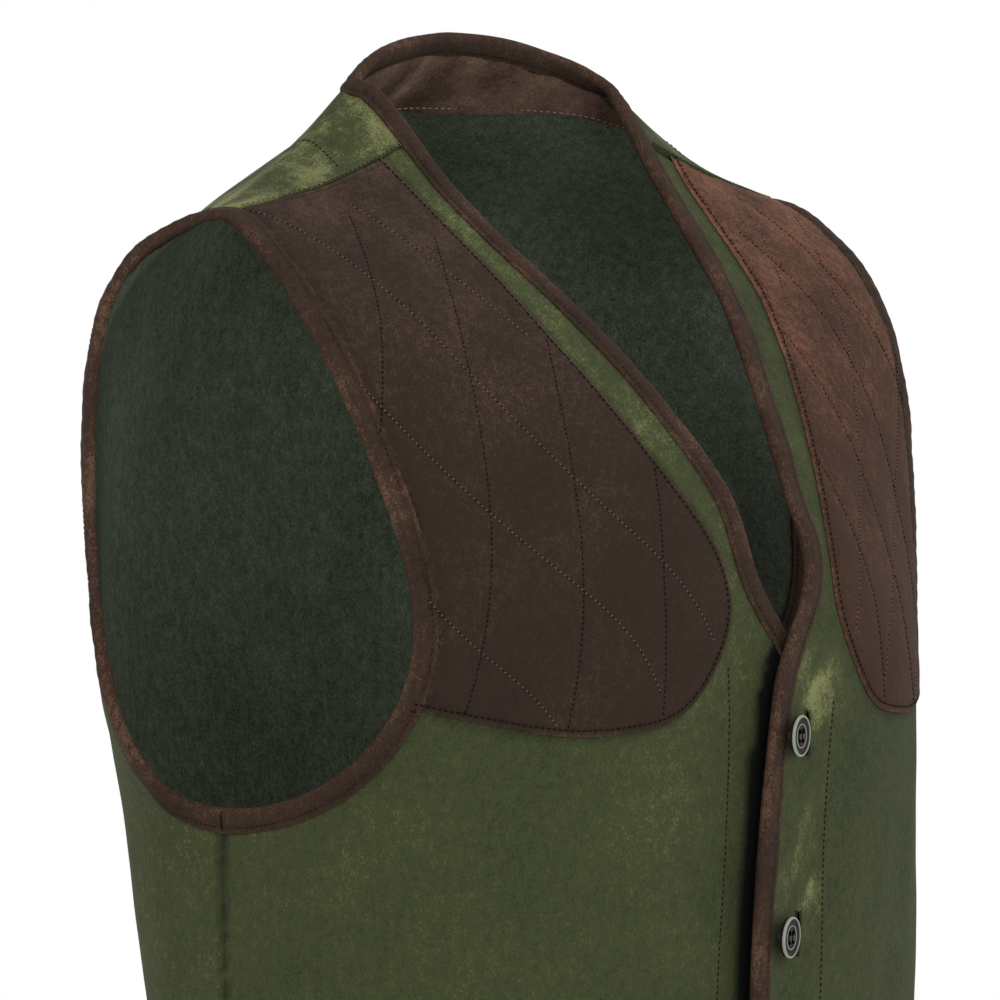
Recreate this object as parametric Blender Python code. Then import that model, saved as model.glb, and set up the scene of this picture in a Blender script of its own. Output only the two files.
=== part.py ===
"""A sleeveless shooting vest in nubuck, worn hollow, as a set of cut and sewn pieces.

Metres, +Z up, the front faces -Y and the wearer's left is +X. The origin is the point that the
shoulders carry: on the centre line, at the height of the side of the neck.

Every piece is cut out of one garment form. A point of the form has two shares: across, from 0 on
the centre line to 1 on the side line (negative on the wearer's right), and turn, from 0 at the front
hem over 1 at the top of the shoulder to 2 at the back hem.
"""

import math

import bmesh
import bpy
import numpy as np
from mathutils import Matrix, Vector
from mathutils.geometry import delaunay_2d_cdt

# Cloth and sewing
WALL = 0.0018
SEAM_GAP = 0.0003
BINDING_WALL = 0.0012
BINDING_WIDTH = 0.0105
BINDING_ROLL = 0.0003
CUT_BACK = BINDING_WALL + SEAM_GAP
BINDING_REACH = BINDING_WIDTH + SEAM_GAP / 2
PATCH_WALL = 0.0013
QUILT_RISE = 0.0015
QUILT_SLOPE = 0.013
FACING_WALL = 0.0012

# The left front laps over the right one
LAP_RISE = 0.0028
LAP_DROP = 0.0034
LAP_CURL = 0.0045
LAP_REACHES = (0.028, 0.085)
CURL_REACHES = (-0.0255, 0.020)
LAP_TURNS = (0.575, 0.665)

# Buttons, beside the centre line, each turned with the lapped edge
BUTTON_TURNS = (0.484, 0.3765, 0.2885, 0.2055, 0.1235)
BUTTON_RADIUS = 0.0090
BUTTON_THICK = 0.0030
BUTTON_STANDOFF = 0.0008
BUTTON_SIDES = 20
BUTTON_REACH = -0.0065
BUTTON_YAW = math.radians(18)
BUTTON_PROFILE = (
    (0.0075, 0.0000),
    (0.0090, 0.0008),
    (0.0090, 0.0024),
    (0.0084, 0.0030),
    (0.0070, 0.0029),
    (0.0063, 0.0020),
)
THREAD_HOLE_RADIUS = 0.0009
THREAD_HOLE_CIRCLE = 0.0022
THREAD_HOLE_SIDES = 6
SLOT_LONG = 0.019
SLOT_WIDE = 0.0014
SLOT_REACH = 0.0064

# Steps of the mesh along and across the cloth, and the size of one share of it when flat
CLOTH_STEP = 0.025
EDGE_STEP = 0.018
HEM_STEP = 0.028
PATCH_STEP = 0.0150
BEND_PACE = 0.016
PATTERN = (0.29, 0.82)

# A line is moved across the cloth in this many steps; slopes are taken over this share
INSET_STEPS = 6
SHARE_NUDGE = 0.001

# How finely the smooth lines are worked out before they are paced
LINE_SAMPLES = 200
STRAIGHT_SAMPLES = 120
ARM_SAMPLES = 120
NECK_SAMPLES = (12, 40)

# Points stay this share of a step away from a piece's lines, a patch's rim and each other
CLEAR_SHARE = 0.5
QUILT_PACE = 0.9
RIM_CLEAR_SHARE = 0.4
POINT_CLEAR_SHARE = 0.35
SAME_PLACE = 1e-6
CORNER_MARGIN = 0.01
FLAT_TOLERANCE = 1e-7

CLOTH_CREASE = math.radians(50)
BUTTON_CREASE = math.radians(35)
CUT_THROUGH = 0.011


def table(names, rows):
    """A short table as a dictionary of columns."""
    return dict(zip(names, np.array(rows, float).T))


SIDE_LINE = table(
    ("level", "half_width", "depth", "height"),
    (
        (0.00, 0.194, -0.001, -0.690),
        (0.20, 0.186, 0.003, -0.480),
        (0.40, 0.185, 0.009, -0.326),
        (0.55, 0.191, 0.006, -0.286),
        (0.67, 0.217, 0.004, -0.215),
        (0.78, 0.239, -0.003, -0.108),
        (0.88, 0.230, 0.005, -0.062),
        (1.00, 0.216, 0.004, -0.054),
    ),
)
CENTRE_LINE = table(
    ("turn", "depth", "height", "squareness", "shoulder_fall"),
    (
        (0.00, -0.128, -0.690, 2.21, 1.00),
        (0.20, -0.138, -0.480, 2.23, 1.02),
        (0.40, -0.145, -0.341, 2.32, 1.05),
        (0.55, -0.148, -0.223, 2.09, 1.05),
        (0.67, -0.127, -0.161, 1.97, 1.40),
        (0.78, -0.076, -0.095, 2.07, 1.69),
        (0.88, -0.016, -0.030, 1.98, 2.09),
        (1.00, 0.030, 0.056, 2.04, 2.61),
        (1.12, 0.049, 0.020, 2.02, 2.37),
        (1.22, 0.112, -0.023, 2.23, 1.68),
        (1.33, 0.141, -0.043, 2.33, 1.44),
        (1.45, 0.154, -0.121, 2.44, 1.17),
        (1.60, 0.136, -0.329, 2.41, 0.98),
        (1.80, 0.115, -0.480, 2.20, 0.99),
        (2.00, 0.128, -0.690, 2.19, 1.00),
    ),
)
FALL_POWER = 1.6
RIDGE_TURN = 1.035
RIDGE_SPREAD = 0.060
RIDGE_REACHES = (0.03, 0.12)
RIDGE_SHIFTS = (-1.0, -0.5, 0.0, 0.5, 1.0)

# Beside the armholes the back stands out from the wearer's arms, and turns forward as it does.
# Further in it is a little flatter, and its edge stands out.
BACK_SWELL = 0.031
SWELL_PINCH = 0.90
SWELL_INNER = (0.25, 0.70)
SWELL_OUTER = (0.86, 1.00)
SWELL_RISE = (0.38, 0.62)
SWELL_END = (0.63, 0.78)
BACK_FLAT = 0.0055
FLAT_INNER = (0.35, 0.62)
FLAT_OUTER = (0.66, 0.80)
FLAT_RISE = (0.55, 0.66)
FLAT_END = (0.80, 0.90)
EDGE_STAND = 0.0018
STAND_INNER = (0.64, 0.78)

# The lines that the pieces are cut along
FRONT_EDGE = table(
    ("turn", "reach"),
    (
        (0.000, -0.0235),
        (0.200, -0.0235),
        (0.380, -0.0235),
        (0.440, -0.0225),
        (0.490, -0.0185),
        (0.525, -0.0105),
        (0.554, 0.0039),
        (0.643, 0.0174),
        (0.732, 0.0332),
        (0.822, 0.0572),
        (0.911, 0.0708),
        (1.000, 0.0776),
    ),
)
NECK_SHARE = 0.229
NECK_BEHIND = 0.110
NECK_ROUND = 1.206
UNDERARM = 0.486
ARMHOLE = table(
    ("swing", "reach"),
    (
        (-90.0, 0.380),
        (-67.5, 0.522),
        (-45.0, 0.601),
        (-22.5, 0.463),
        (0.0, 0.335),
        (22.5, 0.192),
        (45.0, 0.312),
        (67.5, 0.339),
        (90.0, 0.228),
    ),
)
SEAM_SWING = -8.3
SEAM_TURN = 0.910
SEAM_POINTS = 6
SEAM = table(("part", "turn"), ((0.0, 0.911), (0.5, 0.917), (1.0, 0.946)))
PATCH_EDGE = table(
    ("across", "turn"),
    (
        (0.277, 0.912),
        (0.223, 0.828),
        (0.160, 0.717),
        (0.129, 0.652),
        (0.097, 0.559),
        (0.152, 0.516),
        (0.261, 0.503),
        (0.406, 0.517),
        (0.618, 0.585),
    ),
)
QUILT_LINES = table(
    ("start_across", "start_turn", "middle_across", "middle_turn", "end_across", "end_turn"),
    (
        (0.387, 0.874, 0.423, 0.812, 0.520, 0.735),
        (0.273, 0.844, 0.340, 0.760, 0.547, 0.562),
        (0.217, 0.746, 0.290, 0.675, 0.393, 0.518),
        (0.157, 0.686, 0.203, 0.620, 0.230, 0.508),
        (0.377, 0.886, 0.300, 0.826, 0.223, 0.772),
        (0.560, 0.916, 0.343, 0.758, 0.133, 0.544),
        (0.523, 0.760, 0.380, 0.670, 0.233, 0.522),
        (0.537, 0.656, 0.475, 0.592, 0.407, 0.524),
    ),
)
FACING_EDGE = table(
    ("across", "turn"),
    (
        (0.000, 1.178),
        (0.083, 1.162),
        (0.140, 1.146),
        (0.200, 1.127),
        (0.250, 1.106),
        (0.290, 1.080),
        (0.325, 1.040),
    ),
)
FACING_START = 1.02


def spline(knots, values, flat_end=False):
    """A natural cubic through the points, with a level last slope if flat_end."""
    knots = np.asarray(knots, float)
    values = np.asarray(values, float)
    gaps = np.diff(knots)
    slopes = np.diff(values) / gaps
    count = len(knots)
    matrix = np.eye(count)
    right = np.zeros(count)
    for i in range(1, count - 1):
        matrix[i, i - 1 : i + 2] = (gaps[i - 1], 2 * (gaps[i - 1] + gaps[i]), gaps[i])
        right[i] = 6 * (slopes[i] - slopes[i - 1])
    if flat_end:
        matrix[-1, -2:] = (1, 2)
        right[-1] = -6 * slopes[-1] / gaps[-1]
    bends = np.linalg.solve(matrix, right)

    def at(x):
        x = np.asarray(x, float)
        i = np.clip(np.searchsorted(knots, x) - 1, 0, count - 2)
        gap = gaps[i]
        near = x - knots[i]
        far = knots[i + 1] - x
        cubic = (bends[i] * far**3 + bends[i + 1] * near**3) / (6 * gap)
        start = (values[i] / gap - bends[i] * gap / 6) * far
        end = (values[i + 1] / gap - bends[i + 1] * gap / 6) * near
        return cubic + start + end

    return at


SIDE_AT = {name: spline(SIDE_LINE["level"], SIDE_LINE[name], True) for name in ("half_width", "depth", "height")}
CENTRE_AT = {
    name: spline(CENTRE_LINE["turn"], CENTRE_LINE[name])
    for name in ("depth", "height", "squareness", "shoulder_fall")
}


def ease(value, low, high):
    """0 below low, 1 above high and smooth between."""
    part = np.clip((value - low) / (high - low), 0, 1)
    return part * part * (3 - 2 * part)


def bump(value, rise, end):
    """1 between its rise and its end and 0 outside them, smooth."""
    return ease(value, *rise) * (1 - ease(value, *end))


def form(across, turn):
    """Points of the garment form, as an array of x, y, z, with the top of the shoulder rounded over."""
    across, turn = np.broadcast_arrays(np.asarray(across, float), np.asarray(turn, float))
    spread = RIDGE_SPREAD * (1 - ease(np.abs(turn - RIDGE_TURN), *RIDGE_REACHES))
    return sum(sharp_form(across, turn + spread * shift) for shift in RIDGE_SHIFTS) / len(RIDGE_SHIFTS)


def sharp_form(across, turn):
    """Points where the curves of the side line and the centre line put them."""
    level = np.clip(np.where(turn <= 1, turn, 2 - turn), 0, 1)
    angle = np.abs(across) * math.pi / 2
    power = 2 / CENTRE_AT["squareness"](turn)
    out = np.maximum(np.sin(angle), 0) ** power
    back = np.maximum(np.cos(angle), 0) ** power
    fall = 1 - np.maximum(1 - out**FALL_POWER, 0) ** CENTRE_AT["shoulder_fall"](turn)
    side_depth = SIDE_AT["depth"](level)
    top = CENTRE_AT["height"](turn)
    share = np.abs(across)
    behind = np.where(turn > 1, 1.0, 0.0)
    swell = BACK_SWELL * behind * bump(share, SWELL_INNER, SWELL_OUTER) * bump(level, SWELL_RISE, SWELL_END)
    flat = BACK_FLAT * behind * bump(share, FLAT_INNER, FLAT_OUTER) * bump(level, FLAT_RISE, FLAT_END)
    stand = EDGE_STAND * behind * bump(share, STAND_INNER, SWELL_OUTER) * bump(level, FLAT_RISE, FLAT_END)
    forward = SWELL_PINCH * swell + flat - stand
    x = np.sign(across) * (SIDE_AT["half_width"](level) * out + swell + stand)
    y = side_depth + (CENTRE_AT["depth"](turn) - side_depth) * back - forward
    z = top + (SIDE_AT["height"](level) - top) * fall
    return np.stack([x, y, z], axis=-1)


def facing_out(across, turn):
    """Unit normals of the form, pointing away from the wearer."""
    along = form(across + SHARE_NUDGE, turn) - form(across - SHARE_NUDGE, turn)
    up = form(across, turn + SHARE_NUDGE) - form(across, turn - SHARE_NUDGE)
    normal = np.cross(along, up)
    return normal / np.linalg.norm(normal, axis=-1, keepdims=True)


def share_of(reach, turn):
    """The across share whose half width is reach, on the given turn."""
    level = np.where(turn <= 1, turn, 2 - turn)
    out = np.abs(reach) / SIDE_AT["half_width"](level)
    return np.sign(reach) * np.arcsin(out ** (CENTRE_AT["squareness"](turn) / 2)) * 2 / math.pi


def inset(path, distance, closed=False):
    """The path moved across the cloth by a distance, to the left of its way, in shares."""
    moved = path.copy()
    for _ in range(INSET_STEPS):
        across, turn = moved.T
        places = form(across, turn)
        if closed:
            way = np.roll(places, -1, axis=0) - np.roll(places, 1, axis=0)
        else:
            way = np.gradient(places, axis=0)
        left = np.cross(facing_out(across, turn), way)
        left *= distance / INSET_STEPS / np.linalg.norm(left, axis=-1, keepdims=True)
        base = np.clip(across, SHARE_NUDGE - 1, 1 - SHARE_NUDGE)
        by_across = (form(base + SHARE_NUDGE, turn) - form(base - SHARE_NUDGE, turn)) / (2 * SHARE_NUDGE)
        by_turn = (form(base, turn + SHARE_NUDGE) - form(base, turn - SHARE_NUDGE)) / (2 * SHARE_NUDGE)
        slopes = np.stack([by_across, by_turn], axis=-1)
        moved = moved + (np.linalg.pinv(slopes) @ left[..., None])[..., 0]
    return moved


def front_edge():
    """The front edge and neckline of the wearer's left front, from the hem to the shoulder seam."""
    turn = np.linspace(0, SEAM_TURN, LINE_SAMPLES)
    reach = spline(FRONT_EDGE["turn"], FRONT_EDGE["reach"])(turn)
    return np.stack([share_of(reach, turn), turn], axis=1)


def back_neck():
    """The neckline from the left shoulder seam over the shoulder to the centre back."""
    turn = np.linspace(SEAM_TURN, 1, NECK_SAMPLES[0], endpoint=False)
    reach = spline(FRONT_EDGE["turn"], FRONT_EDGE["reach"])(turn)
    swing = np.linspace(0, math.pi / 2, NECK_SAMPLES[1])
    round_back = NECK_SHARE * np.maximum(np.cos(swing), 0) ** NECK_ROUND
    over = np.stack([share_of(reach, turn), turn], axis=1)
    behind = np.stack([round_back, 1 + NECK_BEHIND * np.sin(swing) ** NECK_ROUND], axis=1)
    return np.concatenate([over, behind])


def armhole(low, high):
    """The armhole's edge between two swings, -90 degrees under the arm in front and 90 behind."""
    swing = np.linspace(low, high, ARM_SAMPLES)
    reach = spline(ARMHOLE["swing"], ARMHOLE["reach"])(swing)
    radians = np.radians(swing)
    return np.stack([1 - reach * np.cos(radians), 1 + (1 - UNDERARM) * np.sin(radians)], axis=1)


def seam_line():
    """The left shoulder seam from the neckline to the armhole, with a point where each binding's leg ends."""
    neck, neck_count = neck_line()
    arm, arm_count = arm_line()
    neck_end = len(neck) - neck_count
    arm_end = arm_count - 1
    start = inset(neck, BINDING_REACH)[neck_end]
    end = inset(arm, BINDING_REACH)[arm_end]
    part = np.linspace(0, 1, LINE_SAMPLES)
    across = start[0] + (end[0] - start[0]) * part
    slip = (start[1] - SEAM["turn"][0], end[1] - SEAM["turn"][-1])
    turn = spline(SEAM["part"], SEAM["turn"])(part) + slip[0] * (1 - part) + slip[1] * part
    path = np.stack([across, turn], axis=1)
    length = real_length(path)
    corner = real_length(path[across <= PATCH_EDGE["across"][0]])
    under_patch = np.linspace(corner, length, SEAM_POINTS)
    between = at_distances(path, [0, corner / 2, *under_patch])
    return np.concatenate([neck[neck_end : neck_end + 1], between, arm[arm_end : arm_end + 1]])


def mirrored(path):
    """The same path on the other side, walked the other way."""
    return (path * (-1, 1))[::-1]


WHOLE = slice(None)


def joined(edges):
    """The raw outline of a piece, walked round with the cloth on the left.

    Each of its edges is a part of a whole line, cut back from it by a distance.
    """
    outline = []
    before = edges[-1]
    for edge in edges:
        line, part, distance = edge
        points = inset(line, distance)[part]
        last_line, last_part, last_distance = before
        points[0] += inset(last_line, last_distance)[last_part][-1] - last_line[last_part][-1]
        outline.append(points[:-1])
        before = edge
    return np.concatenate(outline)


def inside(points, outline):
    """Whether each point lies inside a closed outline."""
    x, y = points[:, 0, None], points[:, 1, None]
    x0, y0 = outline.T
    x1, y1 = np.roll(outline, -1, axis=0).T
    with np.errstate(divide="ignore", invalid="ignore"):
        crossing = ((y0 > y) != (y1 > y)) & (x < x0 + (y - y0) * (x1 - x0) / (y1 - y0))
    return crossing.sum(axis=1) % 2 == 1


def clear_of(points, lines, distance):
    """Which points stay at least a distance away from a list of polylines."""
    far = np.ones(len(points), bool)
    for line in lines:
        start = line[:-1]
        run = np.diff(line, axis=0)
        offset = points[:, None] - start
        along = np.clip((offset * run).sum(-1) / (run**2).sum(-1), 0, 1)
        gap = np.linalg.norm(offset - along[..., None] * run, axis=-1).min(axis=1)
        far &= gap > distance
    return far


def lattice(step):
    """Points in rows a step apart over the flat pattern, every other row shifted by half."""
    rows = np.arange(0, 2 * PATTERN[1], step * math.sqrt(3) / 2)
    columns = np.arange(-PATTERN[0], PATTERN[0], step)
    return np.concatenate(
        [np.stack([columns + (i % 2) * step / 2, np.full(len(columns), row)], axis=1) for i, row in enumerate(rows)]
    )


class Pattern:
    """A flat triangle mesh of a piece, in shares, from which what lies on the piece is also made."""

    def __init__(self, outline, strips, patch, patch_points=()):
        self.index = {}
        self.points = []
        scale = np.array(PATTERN)
        edges = self.chain(outline, True)
        barriers = [np.vstack([outline, outline[:1]]) * scale]
        for strip_lines in strips:
            for line in strip_lines:
                edges += self.chain(line, False)
                barriers.append(line * scale)
        edges += self.chain(patch, True)
        barriers.append(np.vstack([patch, patch[:1]]) * scale)
        coarse = lattice(CLOTH_STEP)
        keep = inside(coarse, outline * scale) & clear_of(coarse, barriers, CLOTH_STEP * CLEAR_SHARE)
        for end, raw_edge, *_ in strips:
            keep &= ~inside(coarse, np.concatenate([end, raw_edge[::-1]]) * scale)
        if len(patch_points):
            keep &= ~inside(coarse, patch * scale)
            self.chain(patch_points, False)
            dots = [np.stack([point, point + SAME_PLACE / 1000]) * scale for point in patch_points]
            fine = lattice(PATCH_STEP)
            fine = fine[inside(fine, patch * scale) & clear_of(fine, barriers + dots, PATCH_STEP * CLEAR_SHARE)]
            self.chain(fine / scale, False)
        self.chain(coarse[keep] / scale, False)
        flat = [Vector(point * scale) for point in np.array(self.points)]
        found = delaunay_2d_cdt(flat, edges, [], 1, FLAT_TOLERANCE, False)
        self.points = np.array([tuple(point) for point in found[0]]) / scale
        faces = np.array([tuple(face) for face in found[2]])
        faces = faces[inside(self.points[faces].mean(axis=1), outline)]
        corners = self.points[faces]
        turned = np.cross(corners[:, 1] - corners[:, 0], corners[:, 2] - corners[:, 0]) < 0
        faces[turned] = faces[turned][:, ::-1]
        self.faces = faces

    def chain(self, line, closed):
        """Adds a line's points and gives its edges."""
        places = []
        for point in line:
            key = (round(point[0], 6), round(point[1], 6))
            if key not in self.index:
                self.index[key] = len(self.points)
                self.points.append(np.array(point))
            places.append(self.index[key])
        ends = places[1:] + places[:1] if closed else places[1:]
        return [(a, b) for a, b in zip(places, ends) if a != b]

    def faces_in(self, outline):
        """The triangles whose middle lies inside an outline."""
        return self.faces[inside(self.points[self.faces].mean(axis=1), outline)]


def border(faces):
    """The edges that only one triangle has, each in the direction that its triangle walks it."""
    edges = np.concatenate([faces[:, [0, 1]], faces[:, [1, 2]], faces[:, [2, 0]]])
    known = {tuple(edge) for edge in edges}
    return np.array([edge for edge in edges if (edge[1], edge[0]) not in known])


def wall(name, points, faces, outer, inner, material, is_left=True):
    """A cloth wall: a triangle mesh of the form raised to two heights, closed round its edge.

    A piece that isn't on the left is the mirror image of the one that its points make.
    """
    used, faces = np.unique(faces, return_inverse=True)
    faces = faces.reshape(-1, 3)
    places = form(points[used, 0], points[used, 1])
    normals = facing_out(points[used, 0], points[used, 1])
    count = len(used)
    vertices = np.concatenate([places + normals * outer[used, None], places + normals * inner[used, None]])
    rim = []
    for a, b in border(faces):
        if points[used[a], 0] + points[used[b], 0] < 0:
            rim += [(b, a, a + count), (b, a + count, b + count)]
        else:
            rim += [(b, a, b + count), (a, a + count, b + count)]
    sides = faces.tolist() + (faces[:, ::-1] + count).tolist() + rim
    if not is_left:
        vertices = vertices * (-1, 1, 1)
        sides = [side[::-1] for side in sides]
    return add_mesh(name, vertices, sides, material)


def add_mesh(name, vertices, faces, material):
    mesh = bpy.data.meshes.new(name)
    mesh.from_pydata([tuple(vertex) for vertex in vertices], [], [tuple(face) for face in faces])
    mesh.validate()
    mesh.shade_smooth()
    mesh.set_sharp_from_angle(angle=CLOTH_CREASE)
    mesh.materials.append(material)
    piece = bpy.data.objects.new(name, mesh)
    bpy.context.scene.collection.objects.link(piece)
    return piece


def surface(name, base_color, roughness, metallic=0.0):
    material = bpy.data.materials.new(name)
    material.use_nodes = True
    shader = material.node_tree.nodes["Principled BSDF"]
    shader.inputs["Base Color"].default_value = (*base_color, 1)
    shader.inputs["Roughness"].default_value = roughness
    shader.inputs["Metallic"].default_value = metallic
    return material


def lap(across, turn, is_left=True):
    """How far a front is moved out where the left one laps over the right, from the neckline's point down."""
    reach = form(across, turn)[..., 0] * (1 if is_left else -1)
    near = 1 - ease(reach, *LAP_REACHES)
    low = 1 - ease(turn, *LAP_TURNS)
    if not is_left:
        return -LAP_DROP * near * low
    return (LAP_RISE * near + LAP_CURL * (1 - ease(reach, *CURL_REACHES))) * low


def bound(name, path, material, on_left=None, closed=False):
    """A binding folded round a raw edge: its section swept along the edge's path.

    on_left says which of the path's points follow the left front, for an edge that the fronts' lap moves.
    """
    rings = []
    for reach, height in BINDING_SECTION:
        across, turn = inset(path, reach, closed).T
        lift = np.zeros(len(path))
        if on_left is not None:
            lift = np.where(on_left, lap(across, turn), lap(across, turn, False))
        rings.append(form(across, turn) + facing_out(across, turn) * (height + lift)[:, None])
    sides = len(rings)
    vertices = np.stack(rings, axis=1).reshape(-1, 3)
    faces = []
    stations = len(path)
    for i in range(stations if closed else stations - 1):
        here = i * sides
        there = (i + 1) % stations * sides
        mirror = on_right(path, i)
        for k in range(sides):
            after = (k + 1) % sides
            if (k == 0) == mirror:
                faces.append((here + k, there + k, there + after))
                faces.append((here + k, there + after, here + after))
            else:
                faces.append((here + k, there + k, here + after))
                faces.append((there + k, there + after, here + after))
    if not closed:
        last = (stations - 1) * sides
        faces.append(tuple(range(sides)))
        faces.append(tuple(last + k for k in reversed(range(sides))))
    return add_mesh(name, vertices, faces, material)


# A binding's section: the distance from the folded edge, and the height over the cloth's outside
BINDING_SECTION = (
    (BINDING_WIDTH, SEAM_GAP),
    (BINDING_WALL, SEAM_GAP),
    (BINDING_WALL, -WALL - SEAM_GAP),
    (BINDING_WIDTH, -WALL - SEAM_GAP),
    (BINDING_WIDTH, -WALL - CUT_BACK),
    (0.0018, -WALL - CUT_BACK - BINDING_ROLL),
    (0.0004, -WALL - SEAM_GAP),
    (0.0000, -WALL / 2),
    (0.0004, SEAM_GAP),
    (0.0018, CUT_BACK + BINDING_ROLL),
    (BINDING_WIDTH, CUT_BACK),
)


def real_distances(path):
    """How far each point of a path is from its start, over the cloth."""
    runs = np.linalg.norm(np.diff(form(path[:, 0], path[:, 1]), axis=0), axis=1)
    return np.concatenate([[0], np.cumsum(runs)])


def real_length(path):
    return real_distances(path)[-1]


def at_distances(path, distances):
    """The points of a path at real distances from its start."""
    gone = real_distances(path)
    return np.stack([np.interp(distances, gone, column) for column in path.T], axis=1)


def bends(path):
    """How far the cloth has turned over from the start of a path to each of its points."""
    normals = facing_out(path[:, 0], path[:, 1])
    return np.concatenate([[0], np.cumsum(np.linalg.norm(np.diff(normals, axis=0), axis=1))])


def ruled(path, step, first=0.0, last=0.0):
    """A path's points about a step apart and closer where the cloth turns over, on it or a binding's width in.

    There is one more point at the distance first from its start and last from its end.
    """
    length = real_length(path)
    distances = real_distances(path)
    paced = distances + (bends(path) + bends(inset(path, BINDING_REACH))) * BEND_PACE
    ends = np.interp([first, length - last], distances, paced)
    count = max(2, round((ends[1] - ends[0]) / step) + 1)
    between = np.interp(np.linspace(*ends, count), paced, distances)
    return at_distances(path, ([0.0] if first else []) + list(between) + ([length] if last else []))


def straight(start, end):
    part = np.linspace(0, 1, STRAIGHT_SAMPLES)[:, None]
    return np.array(start) * (1 - part) + np.array(end) * part


def nearest(points, target):
    return points[np.linalg.norm((points - target) * PATTERN, axis=1).argmin()]


def on_right(path, i):
    """Whether a stretch of a bound edge is on the wearer's right, where its triangles are split the other way."""
    return bool(path[i][0] + path[(i + 1) % len(path)][0] < 0)


def strip(line, part, outline):
    """The lines on the cloth under a binding's leg: where it ends, the raw edge, then rungs and slants between."""
    path = line[part]
    edge = inset(line, CUT_BACK)[part]
    end = inset(line, BINDING_REACH)[part]
    for row in (edge, end):
        row[0] = nearest(outline, row[0])
        row[-1] = nearest(outline, row[-1])
    lines = [end, edge]
    for i in range(len(path) - 1):
        mirror = on_right(path, i)
        lines.append(np.stack([edge[i + 1], end[i]]) if mirror else np.stack([edge[i], end[i + 1]]))
        if i > 0:
            lines.append(np.stack([edge[i], end[i]]))
    return lines


def arm_line():
    """The left armhole's edge from under the arm over the shoulder and back, and how many points are in front."""
    ahead = ruled(armhole(-90, SEAM_SWING), EDGE_STEP)
    behind = ruled(armhole(SEAM_SWING, 90), EDGE_STEP)
    return np.concatenate([ahead, behind[1:]]), len(ahead)


def neck_line():
    """The edge from the right front's hem round the neck to the left one's, and how many points one front has."""
    ahead = ruled(front_edge(), EDGE_STEP)
    half = np.concatenate([ahead, ruled(back_neck(), EDGE_STEP)[1:]])
    return np.concatenate([half * (-1, 1), half[-2::-1]]), len(ahead)


def smooth_path(names, rows, step):
    """A curve through a table's points, with points a step apart."""
    corners = np.stack([rows[name] for name in names], axis=1)
    gone = np.concatenate([[0], np.cumsum(np.linalg.norm(np.diff(corners, axis=0), axis=1))])
    fine = np.linspace(0, gone[-1], LINE_SAMPLES)
    return ruled(np.stack([spline(gone, column)(fine) for column in corners.T], axis=1), step)


def quilt_paths(step):
    """The quilting lines of a patch, each a curve through its start, middle and end."""
    paths = []
    for i in range(len(QUILT_LINES["start_turn"])):
        row = {name: values[i] for name, values in QUILT_LINES.items()}
        line = {
            "across": [row["start_across"], row["middle_across"], row["end_across"]],
            "turn": [row["start_turn"], row["middle_turn"], row["end_turn"]],
        }
        paths.append(smooth_path(("across", "turn"), line, step))
    return paths


def front_pattern():
    """The left front cut flat, its patch's outline and the triangles of both."""
    arm, arm_count = arm_line()
    arm_part = slice(0, arm_count)
    edge, edge_count = neck_line()
    edge_part = slice(len(edge) - edge_count, None)
    hem = ruled(straight(edge[-1], (1, 0)), HEM_STEP, first=BINDING_REACH)
    side = ruled(straight((1, 0), (1, UNDERARM)), HEM_STEP, last=BINDING_REACH)
    seam = seam_line()[::-1]
    outline = joined(
        [
            (hem, WHOLE, 0.0),
            (side, WHOLE, SEAM_GAP / 2),
            (arm, arm_part, CUT_BACK),
            (seam, WHOLE, SEAM_GAP / 2),
            (edge, edge_part, CUT_BACK),
        ]
    )
    arm_strip = strip(arm, arm_part, outline)
    edge_strip = strip(edge, edge_part, outline)
    arm_guide = arm_strip[0]
    patch_edge = smooth_path(("across", "turn"), PATCH_EDGE, PATCH_STEP)
    corner = np.linalg.norm((arm_guide - patch_edge[-1]) * PATTERN, axis=1).argmin()
    corner_across, corner_turn = patch_edge[0] - CORNER_MARGIN
    top = outline[(outline[:, 0] > corner_across) & (outline[:, 1] > corner_turn)]
    top = top[top[:, 0] < arm_guide[-1][0] - SAME_PLACE]
    top = top[np.argsort(-top[:, 0])]
    patch = np.concatenate([arm_guide[corner:], top, patch_edge[1:-1]])
    scale = np.array(PATTERN)
    rim = np.vstack([patch, patch[:1]]) * scale
    dots = []
    for path in quilt_paths(PATCH_STEP * QUILT_PACE):
        clear = clear_of(path * scale, [rim], PATCH_STEP * RIM_CLEAR_SHARE)
        for dot in path[inside(path * scale, patch * scale) & clear]:
            if all(np.linalg.norm((dot - other) * scale) > PATCH_STEP * POINT_CLEAR_SHARE for other in dots):
                dots.append(dot)
    return Pattern(outline, [arm_strip, edge_strip], patch, np.array(dots)), patch


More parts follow.
